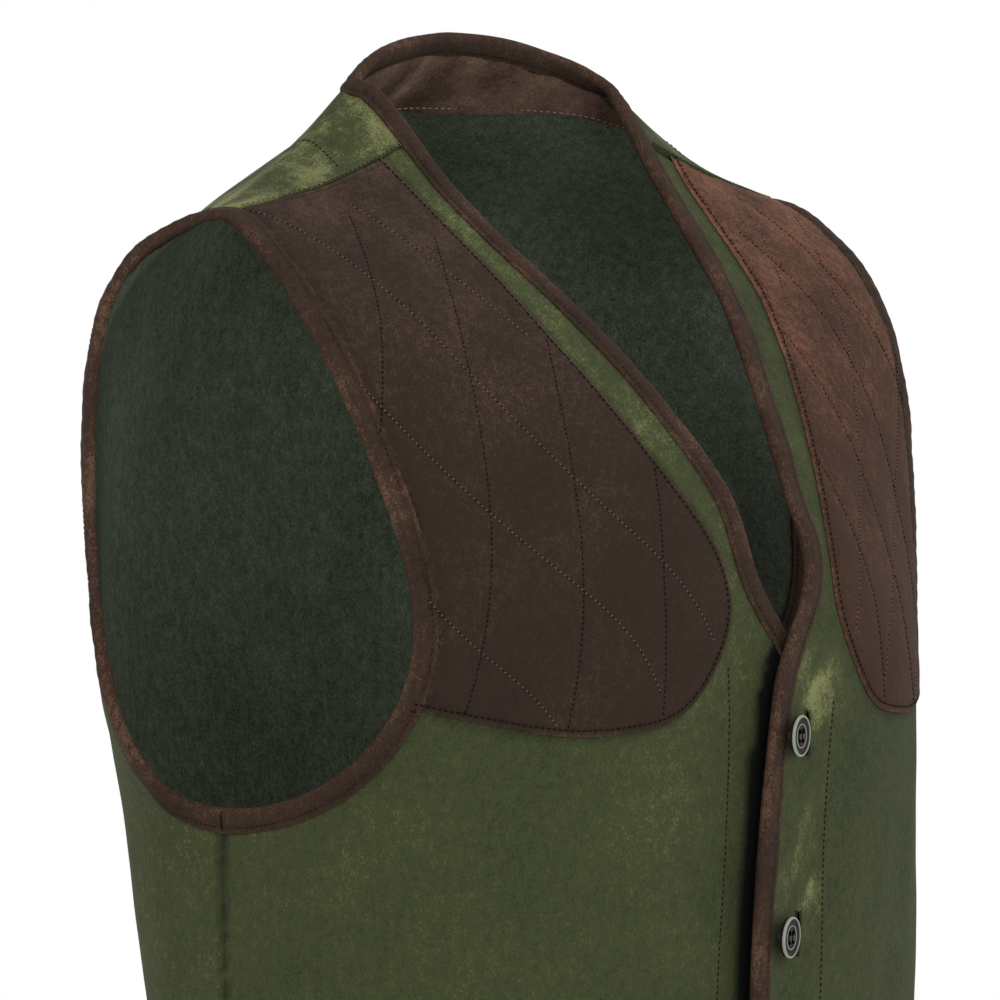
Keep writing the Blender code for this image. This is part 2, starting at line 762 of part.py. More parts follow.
def back_pattern():
    """The back cut flat with its yoke, and the facing's outline."""
    arm, arm_count = arm_line()
    arm_part = slice(arm_count - 1, None)
    right_arm = mirrored(arm)
    right_arm_part = slice(0, len(arm) - arm_count + 1)
    neck, edge_count = neck_line()
    neck_part = slice(edge_count - 1, len(neck) - edge_count + 1)
    side = ruled(straight((1, 2 - UNDERARM), (1, 2)), HEM_STEP, first=BINDING_REACH)
    hem = ruled(straight((1, 2), (-1, 2)), HEM_STEP)
    seam = seam_line()
    outline = joined(
        [
            (seam, WHOLE, SEAM_GAP / 2),
            (arm, arm_part, CUT_BACK),
            (side, WHOLE, SEAM_GAP / 2),
            (hem, WHOLE, 0.0),
            (mirrored(side), WHOLE, SEAM_GAP / 2),
            (right_arm, right_arm_part, CUT_BACK),
            (mirrored(seam), WHOLE, SEAM_GAP / 2),
            (neck, neck_part, CUT_BACK),
        ]
    )
    strips = [
        strip(neck, neck_part, outline),
        strip(arm, arm_part, outline),
        strip(right_arm, right_arm_part, outline),
    ]
    neck_end = strips[0][0]
    top = neck_end[neck_end[:, 1] > FACING_START]
    low = smooth_path(("across", "turn"), FACING_EDGE, EDGE_STEP)
    facing = np.concatenate([top, low[::-1], low[1:] * (-1, 1)])
    return Pattern(outline, strips, facing), facing


def front(name, flat, is_left, material):
    """One front, from the left one's flat pattern, mirrored for the right."""
    across, turn = flat.points.T
    outer = lap(across, turn) if is_left else lap(-across, turn, False)
    return wall(name, flat.points, flat.faces, outer, outer - WALL, material, is_left)


def quilt_rise(points):
    """How far the patch is padded out between its quilting lines and its edge."""
    across, turn = points.T
    places = form(across, turn)
    lines = [form(path[:, 0], path[:, 1]) for path in quilt_paths(QUILT_SLOPE / 4)]
    away = np.linalg.norm(places[:, None] - np.concatenate(lines), axis=-1).min(axis=1)
    return QUILT_RISE * ease(away, 0, QUILT_SLOPE)


def patch_wall(name, flat, outline, is_left, material):
    """A recoil patch on a front: the front's own points moved out, quilted on the outside."""
    faces = flat.faces_in(outline)
    across, turn = flat.points.T
    lift = lap(across, turn) if is_left else lap(-across, turn, False)
    rim = np.zeros(len(flat.points), bool)
    rim[np.unique(border(faces))] = True
    rise = np.where(rim, 0, quilt_rise(flat.points))
    inner = lift + SEAM_GAP
    return wall(name, flat.points, faces, inner + PATCH_WALL + rise, inner, material, is_left)


def button_mesh(material):
    """A turned button with a rim, a dished middle and four thread holes, on its back at the origin."""
    mesh = bmesh.new()
    rings = []
    for radius, height in BUTTON_PROFILE:
        ring = []
        for k in range(BUTTON_SIDES):
            angle = 2 * math.pi * k / BUTTON_SIDES
            ring.append(mesh.verts.new((radius * math.cos(angle), radius * math.sin(angle), height)))
        rings.append(ring)
    for low, high in zip(rings, rings[1:]):
        for k in range(BUTTON_SIDES):
            after = (k + 1) % BUTTON_SIDES
            mesh.faces.new((low[k], low[after], high[after], high[k]))
    mesh.faces.new(rings[0][::-1])
    mesh.faces.new(rings[-1])
    data = bpy.data.meshes.new("button")
    mesh.to_mesh(data)
    mesh.free()
    data.shade_smooth()
    data.set_sharp_from_angle(angle=BUTTON_CREASE)
    data.materials.append(material)
    return data


def thread_holes():
    """Four pins that cut a button's thread holes."""
    mesh = bmesh.new()
    for k in range(4):
        angle = math.pi / 4 + k * math.pi / 2
        middle = (THREAD_HOLE_CIRCLE * math.cos(angle), THREAD_HOLE_CIRCLE * math.sin(angle), BUTTON_THICK / 2)
        bmesh.ops.create_cone(
            mesh,
            cap_ends=True,
            segments=THREAD_HOLE_SIDES,
            radius1=THREAD_HOLE_RADIUS,
            radius2=THREAD_HOLE_RADIUS,
            depth=CUT_THROUGH,
            matrix=Matrix.Translation(middle),
        )
    data = bpy.data.meshes.new("thread_holes")
    mesh.to_mesh(data)
    mesh.free()
    return data


def guide_object(name, data):
    """A cutter: left out of the garment itself."""
    cutter = bpy.data.objects.new(name, data)
    cutter.hide_render = True
    cutter.display_type = "WIRE"
    bpy.context.scene.collection.objects.link(cutter)
    return cutter


def cut(piece, cutter):
    boolean = piece.modifiers.new(cutter.name, "BOOLEAN")
    boolean.operation = "DIFFERENCE"
    boolean.object = cutter


def placket_frame(turn, reach):
    """The place and the turn of a thing on the left front's outside at a reach from the centre line."""
    across = share_of(np.array(reach), np.array(turn))
    normal = facing_out(across, np.array(turn))
    place = form(across, np.array(turn)) + normal * lap(across, np.array(turn))
    outward = Vector(normal)
    sideways = Vector((0, 0, 1)).cross(outward).normalized()
    upward = outward.cross(sideways)
    axes = Matrix((sideways, upward, outward)).transposed().to_4x4()
    return Matrix.Translation(Vector(place)) @ axes


def add_buttons(material):
    data = button_mesh(material)
    pins = thread_holes()
    for number, turn in enumerate(BUTTON_TURNS, start=1):
        button = bpy.data.objects.new(f"button_{number}", data)
        bpy.context.scene.collection.objects.link(button)
        yaw = Matrix.Rotation(BUTTON_YAW, 4, "Y")
        lift = Matrix.Translation((0, 0, BUTTON_STANDOFF + BUTTON_RADIUS * math.sin(BUTTON_YAW)))
        frame = placket_frame(turn, BUTTON_REACH) @ lift @ yaw
        button.matrix_world = frame
        cutter = guide_object(f"thread_holes_{number}", pins)
        cutter.matrix_world = frame
        cut(button, cutter)


def cut_buttonholes(left_front):
    """Upright slots beside the centre line, one for each button."""
    mesh = bmesh.new()
    for turn in BUTTON_TURNS:
        size = Matrix.Diagonal((SLOT_WIDE, SLOT_LONG, CUT_THROUGH, 1))
        bmesh.ops.create_cube(mesh, size=1, matrix=placket_frame(turn, SLOT_REACH) @ size)
    data = bpy.data.meshes.new("buttonholes")
    mesh.to_mesh(data)
    mesh.free()
    cut(left_front, guide_object("buttonholes", data))


def build():
    for old in list(bpy.data.objects):
        bpy.data.objects.remove(old, do_unlink=True)
    nubuck = surface("green_nubuck", (0.066, 0.080, 0.040), 0.9)
    suede = surface("brown_nubuck", (0.060, 0.040, 0.031), 0.9)
    trim = surface("brown_binding", (0.052, 0.033, 0.026), 0.8)
    horn = surface("button_resin", (0.050, 0.040, 0.052), 0.35)

    flat_front, patch = front_pattern()
    left_front = front("front_left", flat_front, True, nubuck)
    cut_buttonholes(left_front)
    front("front_right", flat_front, False, nubuck)
    patch_wall("patch_left", flat_front, patch, True, suede)
    patch_wall("patch_right", flat_front, patch, False, suede)

    flat_back, facing = back_pattern()
    level = np.zeros(len(flat_back.points))
    wall("back", flat_back.points, flat_back.faces, level, level - WALL, nubuck)
    under = level - WALL - SEAM_GAP
    wall("neck_facing", flat_back.points, flat_back.faces_in(facing), under, under - FACING_WALL, suede)

    arm = arm_line()[0][:-1]
    bound("armhole_binding_left", arm, trim, closed=True)
    bound("armhole_binding_right", mirrored(arm), trim, closed=True)
    neck = neck_line()[0]
    bound("neck_binding", neck, trim, np.arange(len(neck)) > len(neck) // 2)
    add_buttons(horn)


build()
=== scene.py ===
"""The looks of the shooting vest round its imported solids: soft nubuck panels, bindings, patches, stitches,
buttons, light and the photograph's camera. Metres, +Z up, the front faces -Y, +X is the wearer's left."""

import math

import bpy
import numpy as np
from mathutils import Matrix, Vector
from mathutils.geometry import delaunay_2d_cdt

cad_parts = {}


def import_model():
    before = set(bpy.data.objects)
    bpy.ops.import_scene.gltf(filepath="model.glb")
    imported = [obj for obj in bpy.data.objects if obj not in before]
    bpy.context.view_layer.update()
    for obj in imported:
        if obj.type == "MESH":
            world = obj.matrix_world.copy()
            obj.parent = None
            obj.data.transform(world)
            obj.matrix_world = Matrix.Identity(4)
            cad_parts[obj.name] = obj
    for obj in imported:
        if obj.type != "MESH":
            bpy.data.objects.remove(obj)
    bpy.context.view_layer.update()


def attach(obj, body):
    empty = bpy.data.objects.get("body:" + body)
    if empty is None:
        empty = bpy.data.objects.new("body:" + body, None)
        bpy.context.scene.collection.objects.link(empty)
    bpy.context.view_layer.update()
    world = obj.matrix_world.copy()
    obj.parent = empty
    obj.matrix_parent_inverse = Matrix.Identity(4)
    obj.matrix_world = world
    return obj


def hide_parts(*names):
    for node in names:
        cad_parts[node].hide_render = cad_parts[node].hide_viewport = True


# Cloth and sewing
WALL = 0.0018
SEAM_GAP = 0.0003
BINDING_WALL = 0.0012
BINDING_WIDTH = 0.0105
CUT_BACK = BINDING_WALL + SEAM_GAP
BINDING_REACH = BINDING_WIDTH + SEAM_GAP / 2
PATCH_WALL = 0.0013
FACING_WALL = 0.0012

# The left front laps over the right one
LAP_RISE = 0.0028
LAP_DROP = 0.0034
LAP_CURL = 0.0045
LAP_REACHES = (0.028, 0.085)
CURL_REACHES = (-0.0255, 0.020)
LAP_TURNS = (0.575, 0.665)

# Buttons, each beside its buttonhole and turned a little with the lapped edge
BUTTON_TURNS = (0.484, 0.3765, 0.2885, 0.2055, 0.1235)
BUTTON_RADIUS = 0.0090
BUTTON_STANDOFF = 0.0008
BUTTON_REACH = -0.0065
BUTTON_YAW = math.radians(18)

# The radius and height of a button's parts, from the back of its body
BUTTON_BODY = ((0.0060, 0.0), (0.0078, 0.0002), (0.0087, 0.0008), (0.0090, 0.0016), (0.0089, 0.0020))
BUTTON_RIM = (
    (0.0089, 0.0018),
    (0.0089, 0.0026),
    (0.0086, 0.0030),
    (0.0083, 0.0031),
    (0.0080, 0.0030),
    (0.0079, 0.0021),
)
BUTTON_FACE = ((0.0079, 0.0019), (0.0079, 0.0027), (0.0062, 0.0025), (0.0045, 0.0024))
BUTTON_RING = ((0.0053, 0.0021), (0.0052, 0.00265), (0.0049, 0.00265), (0.0048, 0.0022))
BUTTON_HOLE = ((0.0013, 0.0), (0.0013, 0.00012), (0.0006, 0.00018))
BUTTON_STEM = ((0.0016, -0.0030), (0.0013, -0.001), (0.0016, 0.0004))
FACE_HEIGHT = 0.0024
HOLE_CIRCLE = 0.0025
THREAD_REACH = 0.0018
THREAD_HEIGHT = 0.0027

# Buttonholes: a slot's size, its place beside the button and the stitches round it
SLOT_LONG = 0.019
SLOT_WIDE = 0.0014
SLOT_REACH = 0.0064
SLOT_RISE = 0.0006
SLOT_SIDES = 32
SLOT_STITCHES = 20
WORKED_EDGE = (0.0009, 0.0023)

# The same place on the other side
MIRROR = (-1, 1)


def table(names, rows):
    """A short table as a dictionary of columns."""
    return dict(zip(names, np.array(rows, float).T))


SIDE_LINE = table(
    ("level", "half_width", "depth", "height"),
    (
        (0.00, 0.194, -0.001, -0.690),
        (0.20, 0.186, 0.003, -0.480),
        (0.40, 0.185, 0.009, -0.326),
        (0.55, 0.191, 0.006, -0.286),
        (0.67, 0.217, 0.004, -0.215),
        (0.78, 0.239, -0.003, -0.108),
        (0.88, 0.230, 0.005, -0.062),
        (1.00, 0.216, 0.004, -0.054),
    ),
)
CENTRE_LINE = table(
    ("turn", "depth", "height", "squareness", "shoulder_fall"),
    (
        (0.00, -0.128, -0.690, 2.21, 1.00),
        (0.20, -0.138, -0.480, 2.23, 1.02),
        (0.40, -0.145, -0.341, 2.32, 1.05),
        (0.55, -0.148, -0.223, 2.09, 1.05),
        (0.67, -0.127, -0.161, 1.97, 1.40),
        (0.78, -0.076, -0.095, 2.07, 1.69),
        (0.88, -0.016, -0.030, 1.98, 2.09),
        (1.00, 0.030, 0.056, 2.04, 2.61),
        (1.12, 0.049, 0.020, 2.02, 2.37),
        (1.22, 0.112, -0.023, 2.23, 1.68),
        (1.33, 0.141, -0.043, 2.33, 1.44),
        (1.45, 0.154, -0.121, 2.44, 1.17),
        (1.60, 0.136, -0.329, 2.41, 0.98),
        (1.80, 0.115, -0.480, 2.20, 0.99),
        (2.00, 0.128, -0.690, 2.19, 1.00),
    ),
)
FALL_POWER = 1.6
RIDGE_TURN = 1.035
RIDGE_SPREAD = 0.060
RIDGE_REACHES = (0.03, 0.12)
RIDGE_SHIFTS = (-1.0, -0.5, 0.0, 0.5, 1.0)

# The lines that the pieces are cut along
FRONT_EDGE = table(
    ("turn", "reach"),
    (
        (0.000, -0.0235),
        (0.200, -0.0235),
        (0.380, -0.0235),
        (0.440, -0.0225),
        (0.490, -0.0185),
        (0.525, -0.0105),
        (0.554, 0.0039),
        (0.643, 0.0174),
        (0.732, 0.0332),
        (0.822, 0.0572),
        (0.911, 0.0708),
        (1.000, 0.0776),
    ),
)
NECK_SHARE = 0.229
NECK_BEHIND = 0.110
NECK_ROUND = 1.206
UNDERARM = 0.486
ARMHOLE = table(
    ("swing", "reach"),
    (
        (-90.0, 0.380),
        (-67.5, 0.522),
        (-45.0, 0.601),
        (-22.5, 0.463),
        (0.0, 0.335),
        (22.5, 0.192),
        (45.0, 0.312),
        (67.5, 0.339),
        (90.0, 0.228),
    ),
)
SEAM_SWING = -8.3
SEAM_TURN = 0.910
SEAM_POINTS = 6
SEAM = table(("part", "turn"), ((0.0, 0.911), (0.5, 0.917), (1.0, 0.946)))
PATCH_EDGE = table(
    ("across", "turn"),
    (
        (0.277, 0.912),
        (0.223, 0.828),
        (0.160, 0.717),
        (0.129, 0.652),
        (0.097, 0.559),
        (0.152, 0.516),
        (0.261, 0.503),
        (0.406, 0.517),
        (0.618, 0.585),
    ),
)
QUILT_LINES = table(
    ("start_across", "start_turn", "middle_across", "middle_turn", "end_across", "end_turn"),
    (
        (0.387, 0.874, 0.423, 0.812, 0.520, 0.735),
        (0.273, 0.844, 0.340, 0.760, 0.547, 0.562),
        (0.200, 0.770, 0.290, 0.675, 0.393, 0.518),
        (0.157, 0.686, 0.203, 0.620, 0.230, 0.508),
        (0.377, 0.886, 0.300, 0.826, 0.223, 0.772),
        (0.560, 0.916, 0.343, 0.758, 0.133, 0.544),
        (0.523, 0.760, 0.380, 0.670, 0.233, 0.522),
        (0.537, 0.656, 0.475, 0.592, 0.407, 0.524),
    ),
)
FACING_EDGE = table(
    ("across", "turn"),
    (
        (0.000, 1.178),
        (0.083, 1.162),
        (0.140, 1.146),
        (0.200, 1.127),
        (0.250, 1.106),
        (0.290, 1.080),
        (0.325, 1.040),
    ),
)
FACING_START = 1.02

# The back swells out and forward beside the armholes, lies flatter within and stands up at their edge.
# Each pair says where it begins or ends: inner and outer in shares round, rise and end in levels.
BACK_SWELL = 0.031
SWELL_PINCH = 0.90
SWELL_INNER = (0.25, 0.70)
SWELL_OUTER = (0.86, 1.00)
SWELL_RISE = (0.38, 0.62)
SWELL_END = (0.63, 0.78)
BACK_FLAT = 0.0055
FLAT_INNER = (0.35, 0.62)
FLAT_OUTER = (0.66, 0.80)
FLAT_RISE = (0.55, 0.66)
FLAT_END = (0.80, 0.90)
EDGE_STAND = 0.0018
STAND_INNER = (0.64, 0.78)

# The looks' own sizes
PATTERN = (0.29, 0.82)
INSET_STEPS = 6
SHARE_NUDGE = 0.001
AT_ONCE = 2000
EDGE_STEP = 0.018
EDGE_FINE = 0.003
GRID_STEP = 0.0040
FRONT_COLUMNS = 72
BACK_COLUMNS = 78
LOW_DROP = 0.012
BEND_START = 0.62
BINDING_STEP = 0.0026
BINDING_UNEVEN = 0.0003
PUCKER_RISE = 0.00014
PUCKER_STEP = 0.0075
THREAD_SIDES = 5
THREAD_SINK = 1.3
THREAD_RISE = 0.0002
FACING_TUCK = 0.0012
FACING_COLUMNS = 60
FACING_ROWS = 24
FACING_STITCH = 0.10
PATCH_FINE = 0.0024
PATCH_PUFF = 0.0005
PUFF_SOFT = 0.0075
PUFF_EDGE = (0.002, 0.014)
QUILT_DIP = 0.0004
EDGE_DIP = 0.0005
DIP_WIDTH = 0.0011
PATCH_TUCK = 0.0006
PATCH_CORNER = 0.004
PATCH_ACROSS = (0.05, 0.9)
PATCH_TURNS = (0.3, 0.96)
ROW_SHARE = 0.866
RIM_SHARE = 0.6
EDGE_STITCH = 0.0026
STEEP_LINES = 4
PATCH_LINE_RISE = SEAM_GAP + PATCH_WALL - THREAD_RISE
BINDING_STITCH = 0.0078
BINDING_STITCH_RISE = 0.0011
BINDING_STITCH_DROP = 0.0031
SEAM_ROLL = 0.0013
SEAM_SOFT = 0.0021
YOKE_LAP = 0.0015
SIDE_SHADE = 0.62
YOKE_RISE = 0.0022
YOKE_SOFT = 0.0075
YOKE_ROLL = 0.0020
YOKE_ROUND = 0.0009
YOKE_STITCH = 0.0022
YOKE_CLEAR = (0.0085, 0.0130)
TOPSTITCH_DIP = 0.0004
TOPSTITCH_WIDTH = 0.0012
# Where the painted shadow under the lapped edge lies on the right front and fades out, and where the painted
# shade inside the back begins
UNDER_LAP = (-0.0008, 0.0004)
LAP_SHADE_TURNS = (0.52, 0.60)
SHADE_SIDE = (0.15, 0.22)
SHADE_DOWN = (0.09, 0.20)

# Where the green leather's looks begin and end, in turns and shares across
FRONT_DEPTH = -0.08
YOKE_START = (0.90, 0.93)
YOKE_END = (1.14, 1.30)
STRIP_START = (0.58, 0.70)
STRIP_SIDE = (0.24, 0.30)
STRIP_TOP = 0.93
SHOULDER_SIDE = (0.30, 0.62)
SLOT_SHEEN = -0.0115

# Where the nap is rubbed pale on the left front: reach, height, width, length and strength
RUBBED_SPOTS = (
    (0.012, -0.255, 0.022, 0.019, 1.00),
    (0.004, -0.285, 0.010, 0.020, 0.25),
    (0.009, -0.336, 0.018, 0.024, 1.10),
    (0.016, -0.300, 0.008, 0.020, 0.22),
    (0.004, -0.417, 0.012, 0.020, 0.40),
    (0.004, -0.476, 0.012, 0.020, 0.40),
    (0.004, -0.553, 0.012, 0.020, 0.40),
)

# The ends of the stitches across the yoke, in shares
YOKE_LINE = ((0.344, 1.035), (0.349, 0.919))

# Where a seam crosses an armhole's binding: share of the way round and turn
JOINS = ((1.0, 0.486), (0.62, 0.560))
JOIN_REACHES = (0.0006, 0.0100)

# A stitch's rings: their place along it and their size
THREAD_RINGS = ((0, 0.35), (0.18, 1.0), (0.82, 1.0), (1, 0.35))

# A binding's rounded section: reach from the fold, height over the cloth's outside, and how much it puckers
SOFT_SECTION = (
    (0.0104, 0.0002, 0.0),
    (0.0013, 0.0002, 0.0),
    (0.0013, -0.0020, 0.0),
    (0.0104, -0.0020, 0.0),
    (0.0105, -0.0026, -1.0),
    (0.0098, -0.0031, -1.0),
    (0.0078, -0.0031, -0.3),
    (0.0055, -0.0035, -1.0),
    (0.0025, -0.0036, -1.0),
    (0.0008, -0.0030, -0.5),
    (0.0000, -0.0016, 0.0),
    (0.0000, -0.0002, 0.0),
    (0.0008, 0.0012, 0.5),
    (0.0025, 0.0018, 1.0),
    (0.0055, 0.0017, 1.0),
    (0.0078, 0.0013, 0.3),
    (0.0098, 0.0013, 1.0),
    (0.0105, 0.0008, 1.0),
)

# The rows of stitches down the fronts: the reach from the centre line at each turn
PLACKET_LEFT = {"turn": (0.0, 0.25, 0.38, 0.45, 0.51), "reach": (0.0245, 0.0245, 0.0240, 0.0225, 0.0270)}
PLACKET_RIGHT = {"turn": (0.0, 0.25, 0.38, 0.46, 0.54), "reach": (0.0345, 0.0350, 0.0345, 0.0335, 0.0345)}

# The photograph's camera
CAMERA_SWING = math.radians(-47.957)
CAMERA_RISE = math.radians(2.621)
CAMERA_DISTANCE = 4.1799
CAMERA_AIM = (-0.01447, 0.00390, -0.17750)
CAMERA_LENS = 347.0
CAMERA_SENSOR = 36
CAMERA_END = 50

FLOOR_HEIGHT = -0.72
FLOOR_RADIUS = 1.25
FLOOR_SIDES = 96


def spline(knots, values, flat_end=False):
    """A natural cubic through the points, with a level last slope if flat_end."""
    knots = np.asarray(knots, float)
    values = np.asarray(values, float)
    gaps = np.diff(knots)
    slopes = np.diff(values) / gaps
    count = len(knots)
    matrix = np.eye(count)
    right = np.zeros(count)
    for i in range(1, count - 1):
        matrix[i, i - 1 : i + 2] = (gaps[i - 1], 2 * (gaps[i - 1] + gaps[i]), gaps[i])
        right[i] = 6 * (slopes[i] - slopes[i - 1])
    if flat_end:
        matrix[-1, -2:] = (1, 2)
        right[-1] = -6 * slopes[-1] / gaps[-1]
    bends = np.linalg.solve(matrix, right)

    def at(x):
        x = np.asarray(x, float)
        i = np.clip(np.searchsorted(knots, x) - 1, 0, count - 2)
        gap = gaps[i]
        near = x - knots[i]
        far = knots[i + 1] - x
        cubic = (bends[i] * far**3 + bends[i + 1] * near**3) / (6 * gap)
        start = (values[i] / gap - bends[i] * gap / 6) * far
        end = (values[i + 1] / gap - bends[i + 1] * gap / 6) * near
        return cubic + start + end

    return at


SIDE_AT = {
    name: spline(SIDE_LINE["level"], SIDE_LINE[name], True)
    for name in ("half_width", "depth", "height")
}
CENTRE_AT = {
    name: spline(CENTRE_LINE["turn"], CENTRE_LINE[name])
    for name in ("depth", "height", "squareness", "shoulder_fall")
}
EDGE_AT = spline(FRONT_EDGE["turn"], FRONT_EDGE["reach"])


def ease(value, low, high):
    """0 below low, 1 above high and smooth between."""
    part = np.clip((value - low) / (high - low), 0, 1)
    return part * part * (3 - 2 * part)


def bump(value, rise, end):
    """1 between its rise and its end and 0 outside them, smooth."""
    return ease(value, *rise) * (1 - ease(value, *end))


def fade(distance, width):
    """1 at no distance and less with it, a bell curve of that width."""
    return np.exp(-((distance / width) ** 2))


def form(across, turn):
    """Points of the garment form, as an array of x, y, z, with the top of the shoulder rounded over."""
    across, turn = np.broadcast_arrays(np.asarray(across, float), np.asarray(turn, float))
    spread = RIDGE_SPREAD * (1 - ease(np.abs(turn - RIDGE_TURN), *RIDGE_REACHES))
    return sum(sharp_form(across, turn + spread * shift) for shift in RIDGE_SHIFTS) / len(RIDGE_SHIFTS)


def sharp_form(across, turn):
    """Points where the curves of the side line and the centre line put them."""
    level = np.clip(np.where(turn <= 1, turn, 2 - turn), 0, 1)
    angle = np.abs(across) * math.pi / 2
    power = 2 / CENTRE_AT["squareness"](turn)
    out = np.maximum(np.sin(angle), 0) ** power
    back = np.maximum(np.cos(angle), 0) ** power
    fall = 1 - np.maximum(1 - out**FALL_POWER, 0) ** CENTRE_AT["shoulder_fall"](turn)
    side_depth = SIDE_AT["depth"](level)
    top = CENTRE_AT["height"](turn)
    share = np.abs(across)
    behind = np.where(turn > 1, 1.0, 0.0)
    swell = BACK_SWELL * behind * bump(share, SWELL_INNER, SWELL_OUTER) * bump(level, SWELL_RISE, SWELL_END)
    flat = BACK_FLAT * behind * bump(share, FLAT_INNER, FLAT_OUTER) * bump(level, FLAT_RISE, FLAT_END)
    stand = EDGE_STAND * behind * bump(share, STAND_INNER, SWELL_OUTER) * bump(level, FLAT_RISE, FLAT_END)
    forward = SWELL_PINCH * swell + flat - stand
    x = np.sign(across) * (SIDE_AT["half_width"](level) * out + swell + stand)
    y = side_depth + (CENTRE_AT["depth"](turn) - side_depth) * back - forward
    z = top + (SIDE_AT["height"](level) - top) * fall
    return np.stack([x, y, z], axis=-1)


def facing_out(across, turn):
    """Unit normals of the form, pointing away from the wearer."""
    along = form(across + SHARE_NUDGE, turn) - form(across - SHARE_NUDGE, turn)
    up = form(across, turn + SHARE_NUDGE) - form(across, turn - SHARE_NUDGE)
    normal = np.cross(along, up)
    return normal / np.linalg.norm(normal, axis=-1, keepdims=True)


def share_of(reach, turn):
    """The across share whose half width is reach, on the given turn."""
    level = np.where(turn <= 1, turn, 2 - turn)
    out = np.abs(reach) / SIDE_AT["half_width"](level)
    return np.sign(reach) * np.arcsin(out ** (CENTRE_AT["squareness"](turn) / 2)) * 2 / math.pi


def inset(path, distance, closed=False):
    """The path moved across the cloth by a distance, to the left of its way, in shares."""
    moved = path.copy()
    for _ in range(INSET_STEPS):
        across, turn = moved.T
        places = form(across, turn)
        if closed:
            way = np.roll(places, -1, axis=0) - np.roll(places, 1, axis=0)
        else:
            way = np.gradient(places, axis=0)
        left = np.cross(facing_out(across, turn), way)
        left *= distance / INSET_STEPS / np.linalg.norm(left, axis=-1, keepdims=True)
        base = np.clip(across, SHARE_NUDGE - 1, 1 - SHARE_NUDGE)
        by_across = (form(base + SHARE_NUDGE, turn) - form(base - SHARE_NUDGE, turn)) / (2 * SHARE_NUDGE)
        by_turn = (form(base, turn + SHARE_NUDGE) - form(base, turn - SHARE_NUDGE)) / (2 * SHARE_NUDGE)
        slopes = np.stack([by_across, by_turn], axis=-1)
        moved = moved + (np.linalg.pinv(slopes) @ left[..., None])[..., 0]
    return moved


def at_reach(reach, turn):
    """Places in shares at a reach from the centre line on each turn."""
    return np.stack([share_of(reach, turn), turn], axis=1)


def front_edge():
    """The front edge and neckline of the wearer's left front, from the hem to the shoulder seam."""
    turn = np.linspace(0, SEAM_TURN, 200)
    return at_reach(EDGE_AT(turn), turn)


def back_neck():
    """The neckline from the left shoulder seam over the shoulder to the centre back."""
    turn = np.linspace(SEAM_TURN, 1, 12, endpoint=False)
    swing = np.linspace(0, math.pi / 2, 40)
    round_back = NECK_SHARE * np.maximum(np.cos(swing), 0) ** NECK_ROUND
    behind = np.stack([round_back, 1 + NECK_BEHIND * np.sin(swing) ** NECK_ROUND], axis=1)
    return np.concatenate([at_reach(EDGE_AT(turn), turn), behind])


def armhole(low, high):
    """The armhole's edge between two swings, -90 degrees under the arm in front and 90 behind."""
    swing = np.linspace(low, high, 120)
    reach = spline(ARMHOLE["swing"], ARMHOLE["reach"])(swing)
    radians = np.radians(swing)
    return np.stack([1 - reach * np.cos(radians), 1 + (1 - UNDERARM) * np.sin(radians)], axis=1)


def run_lengths(points):
    """How far each point is from the first, along the straight runs between them."""
    return np.concatenate([[0], np.cumsum(np.linalg.norm(np.diff(points, axis=0), axis=1))])


def points_at(points, gone, distances):
    """Where the distances fall on a row of points, given how far along it each point is."""
    return np.stack([np.interp(distances, gone, column) for column in points.T], axis=1)


def real_distances(path):
    """How far each point of a path is from its start, over the cloth."""
    return run_lengths(form(*path.T))


def real_length(path):
    """How long a path is, over the cloth."""
    return real_distances(path)[-1]


def at_distances(path, distances):
    """The points of a path at real distances from its start."""
    return points_at(path, real_distances(path), distances)


def smooth_path(rows, step):
    """A curve through a table's places, with points a step apart."""
    corners = np.stack([rows["across"], rows["turn"]], axis=1)
    gone = run_lengths(corners)
    fine = np.linspace(0, gone[-1], 200)
    return equal_steps(np.stack([spline(gone, column)(fine) for column in corners.T], axis=1), step)


def quilt_paths(step):
    """The quilting lines of a patch, each a curve through its start, middle and end."""
    rows = zip(*QUILT_LINES.values())
    return [smooth_path({"across": row[0::2], "turn": row[1::2]}, step) for row in rows]


def lap(across, turn, is_left=True):
    """How far a front is moved out where the left one laps over the right, from the neckline's point down."""
    reach = form(across, turn)[..., 0] * (1 if is_left else -1)
    near = 1 - ease(reach, *LAP_REACHES)
    low = 1 - ease(turn, *LAP_TURNS)
    if not is_left:
        return -LAP_DROP * near * low
    return (LAP_RISE * near + LAP_CURL * (1 - ease(reach, *CURL_REACHES))) * low


def mirrored(path):
    """The same path on the other side, walked the other way."""
    return (path * MIRROR)[::-1]


def inside(points, outline):
    """Whether each point lies inside a closed outline."""
    x, y = points[:, 0, None], points[:, 1, None]
    x0, y0 = outline.T
    x1, y1 = np.roll(outline, -1, axis=0).T
    with np.errstate(divide="ignore", invalid="ignore"):
        crossing = ((y0 > y) != (y1 > y)) & (x < x0 + (y - y0) * (x1 - x0) / (y1 - y0))
    return crossing.sum(axis=1) % 2 == 1


def straight(start, end):
    """Places along the straight line between two places in shares."""
    part = np.linspace(0, 1, 120)[:, None]
    return np.array(start) * (1 - part) + np.array(end) * part


def equal_steps(path, step, count=None):
    """A path's points at equal real distances."""
    length = real_length(path)
    count = count or max(2, round(length / step) + 1)
    return at_distances(path, np.linspace(0, length, count))


def arm_path(step):
    """The left armhole's edge from under the arm over the shoulder and back."""
    ahead = equal_steps(armhole(-90, SEAM_SWING), step)
    behind = equal_steps(armhole(SEAM_SWING, 90), step)
    return np.concatenate([ahead, behind[1:]]), len(ahead)


def neck_path(step):
    """The edge from the right front's hem round the neck to the left one's."""
    ahead = equal_steps(front_edge(), step)
    half = np.concatenate([ahead, equal_steps(back_neck(), step)[1:]])
    return np.concatenate([half * MIRROR, half[-2::-1]]), len(ahead)


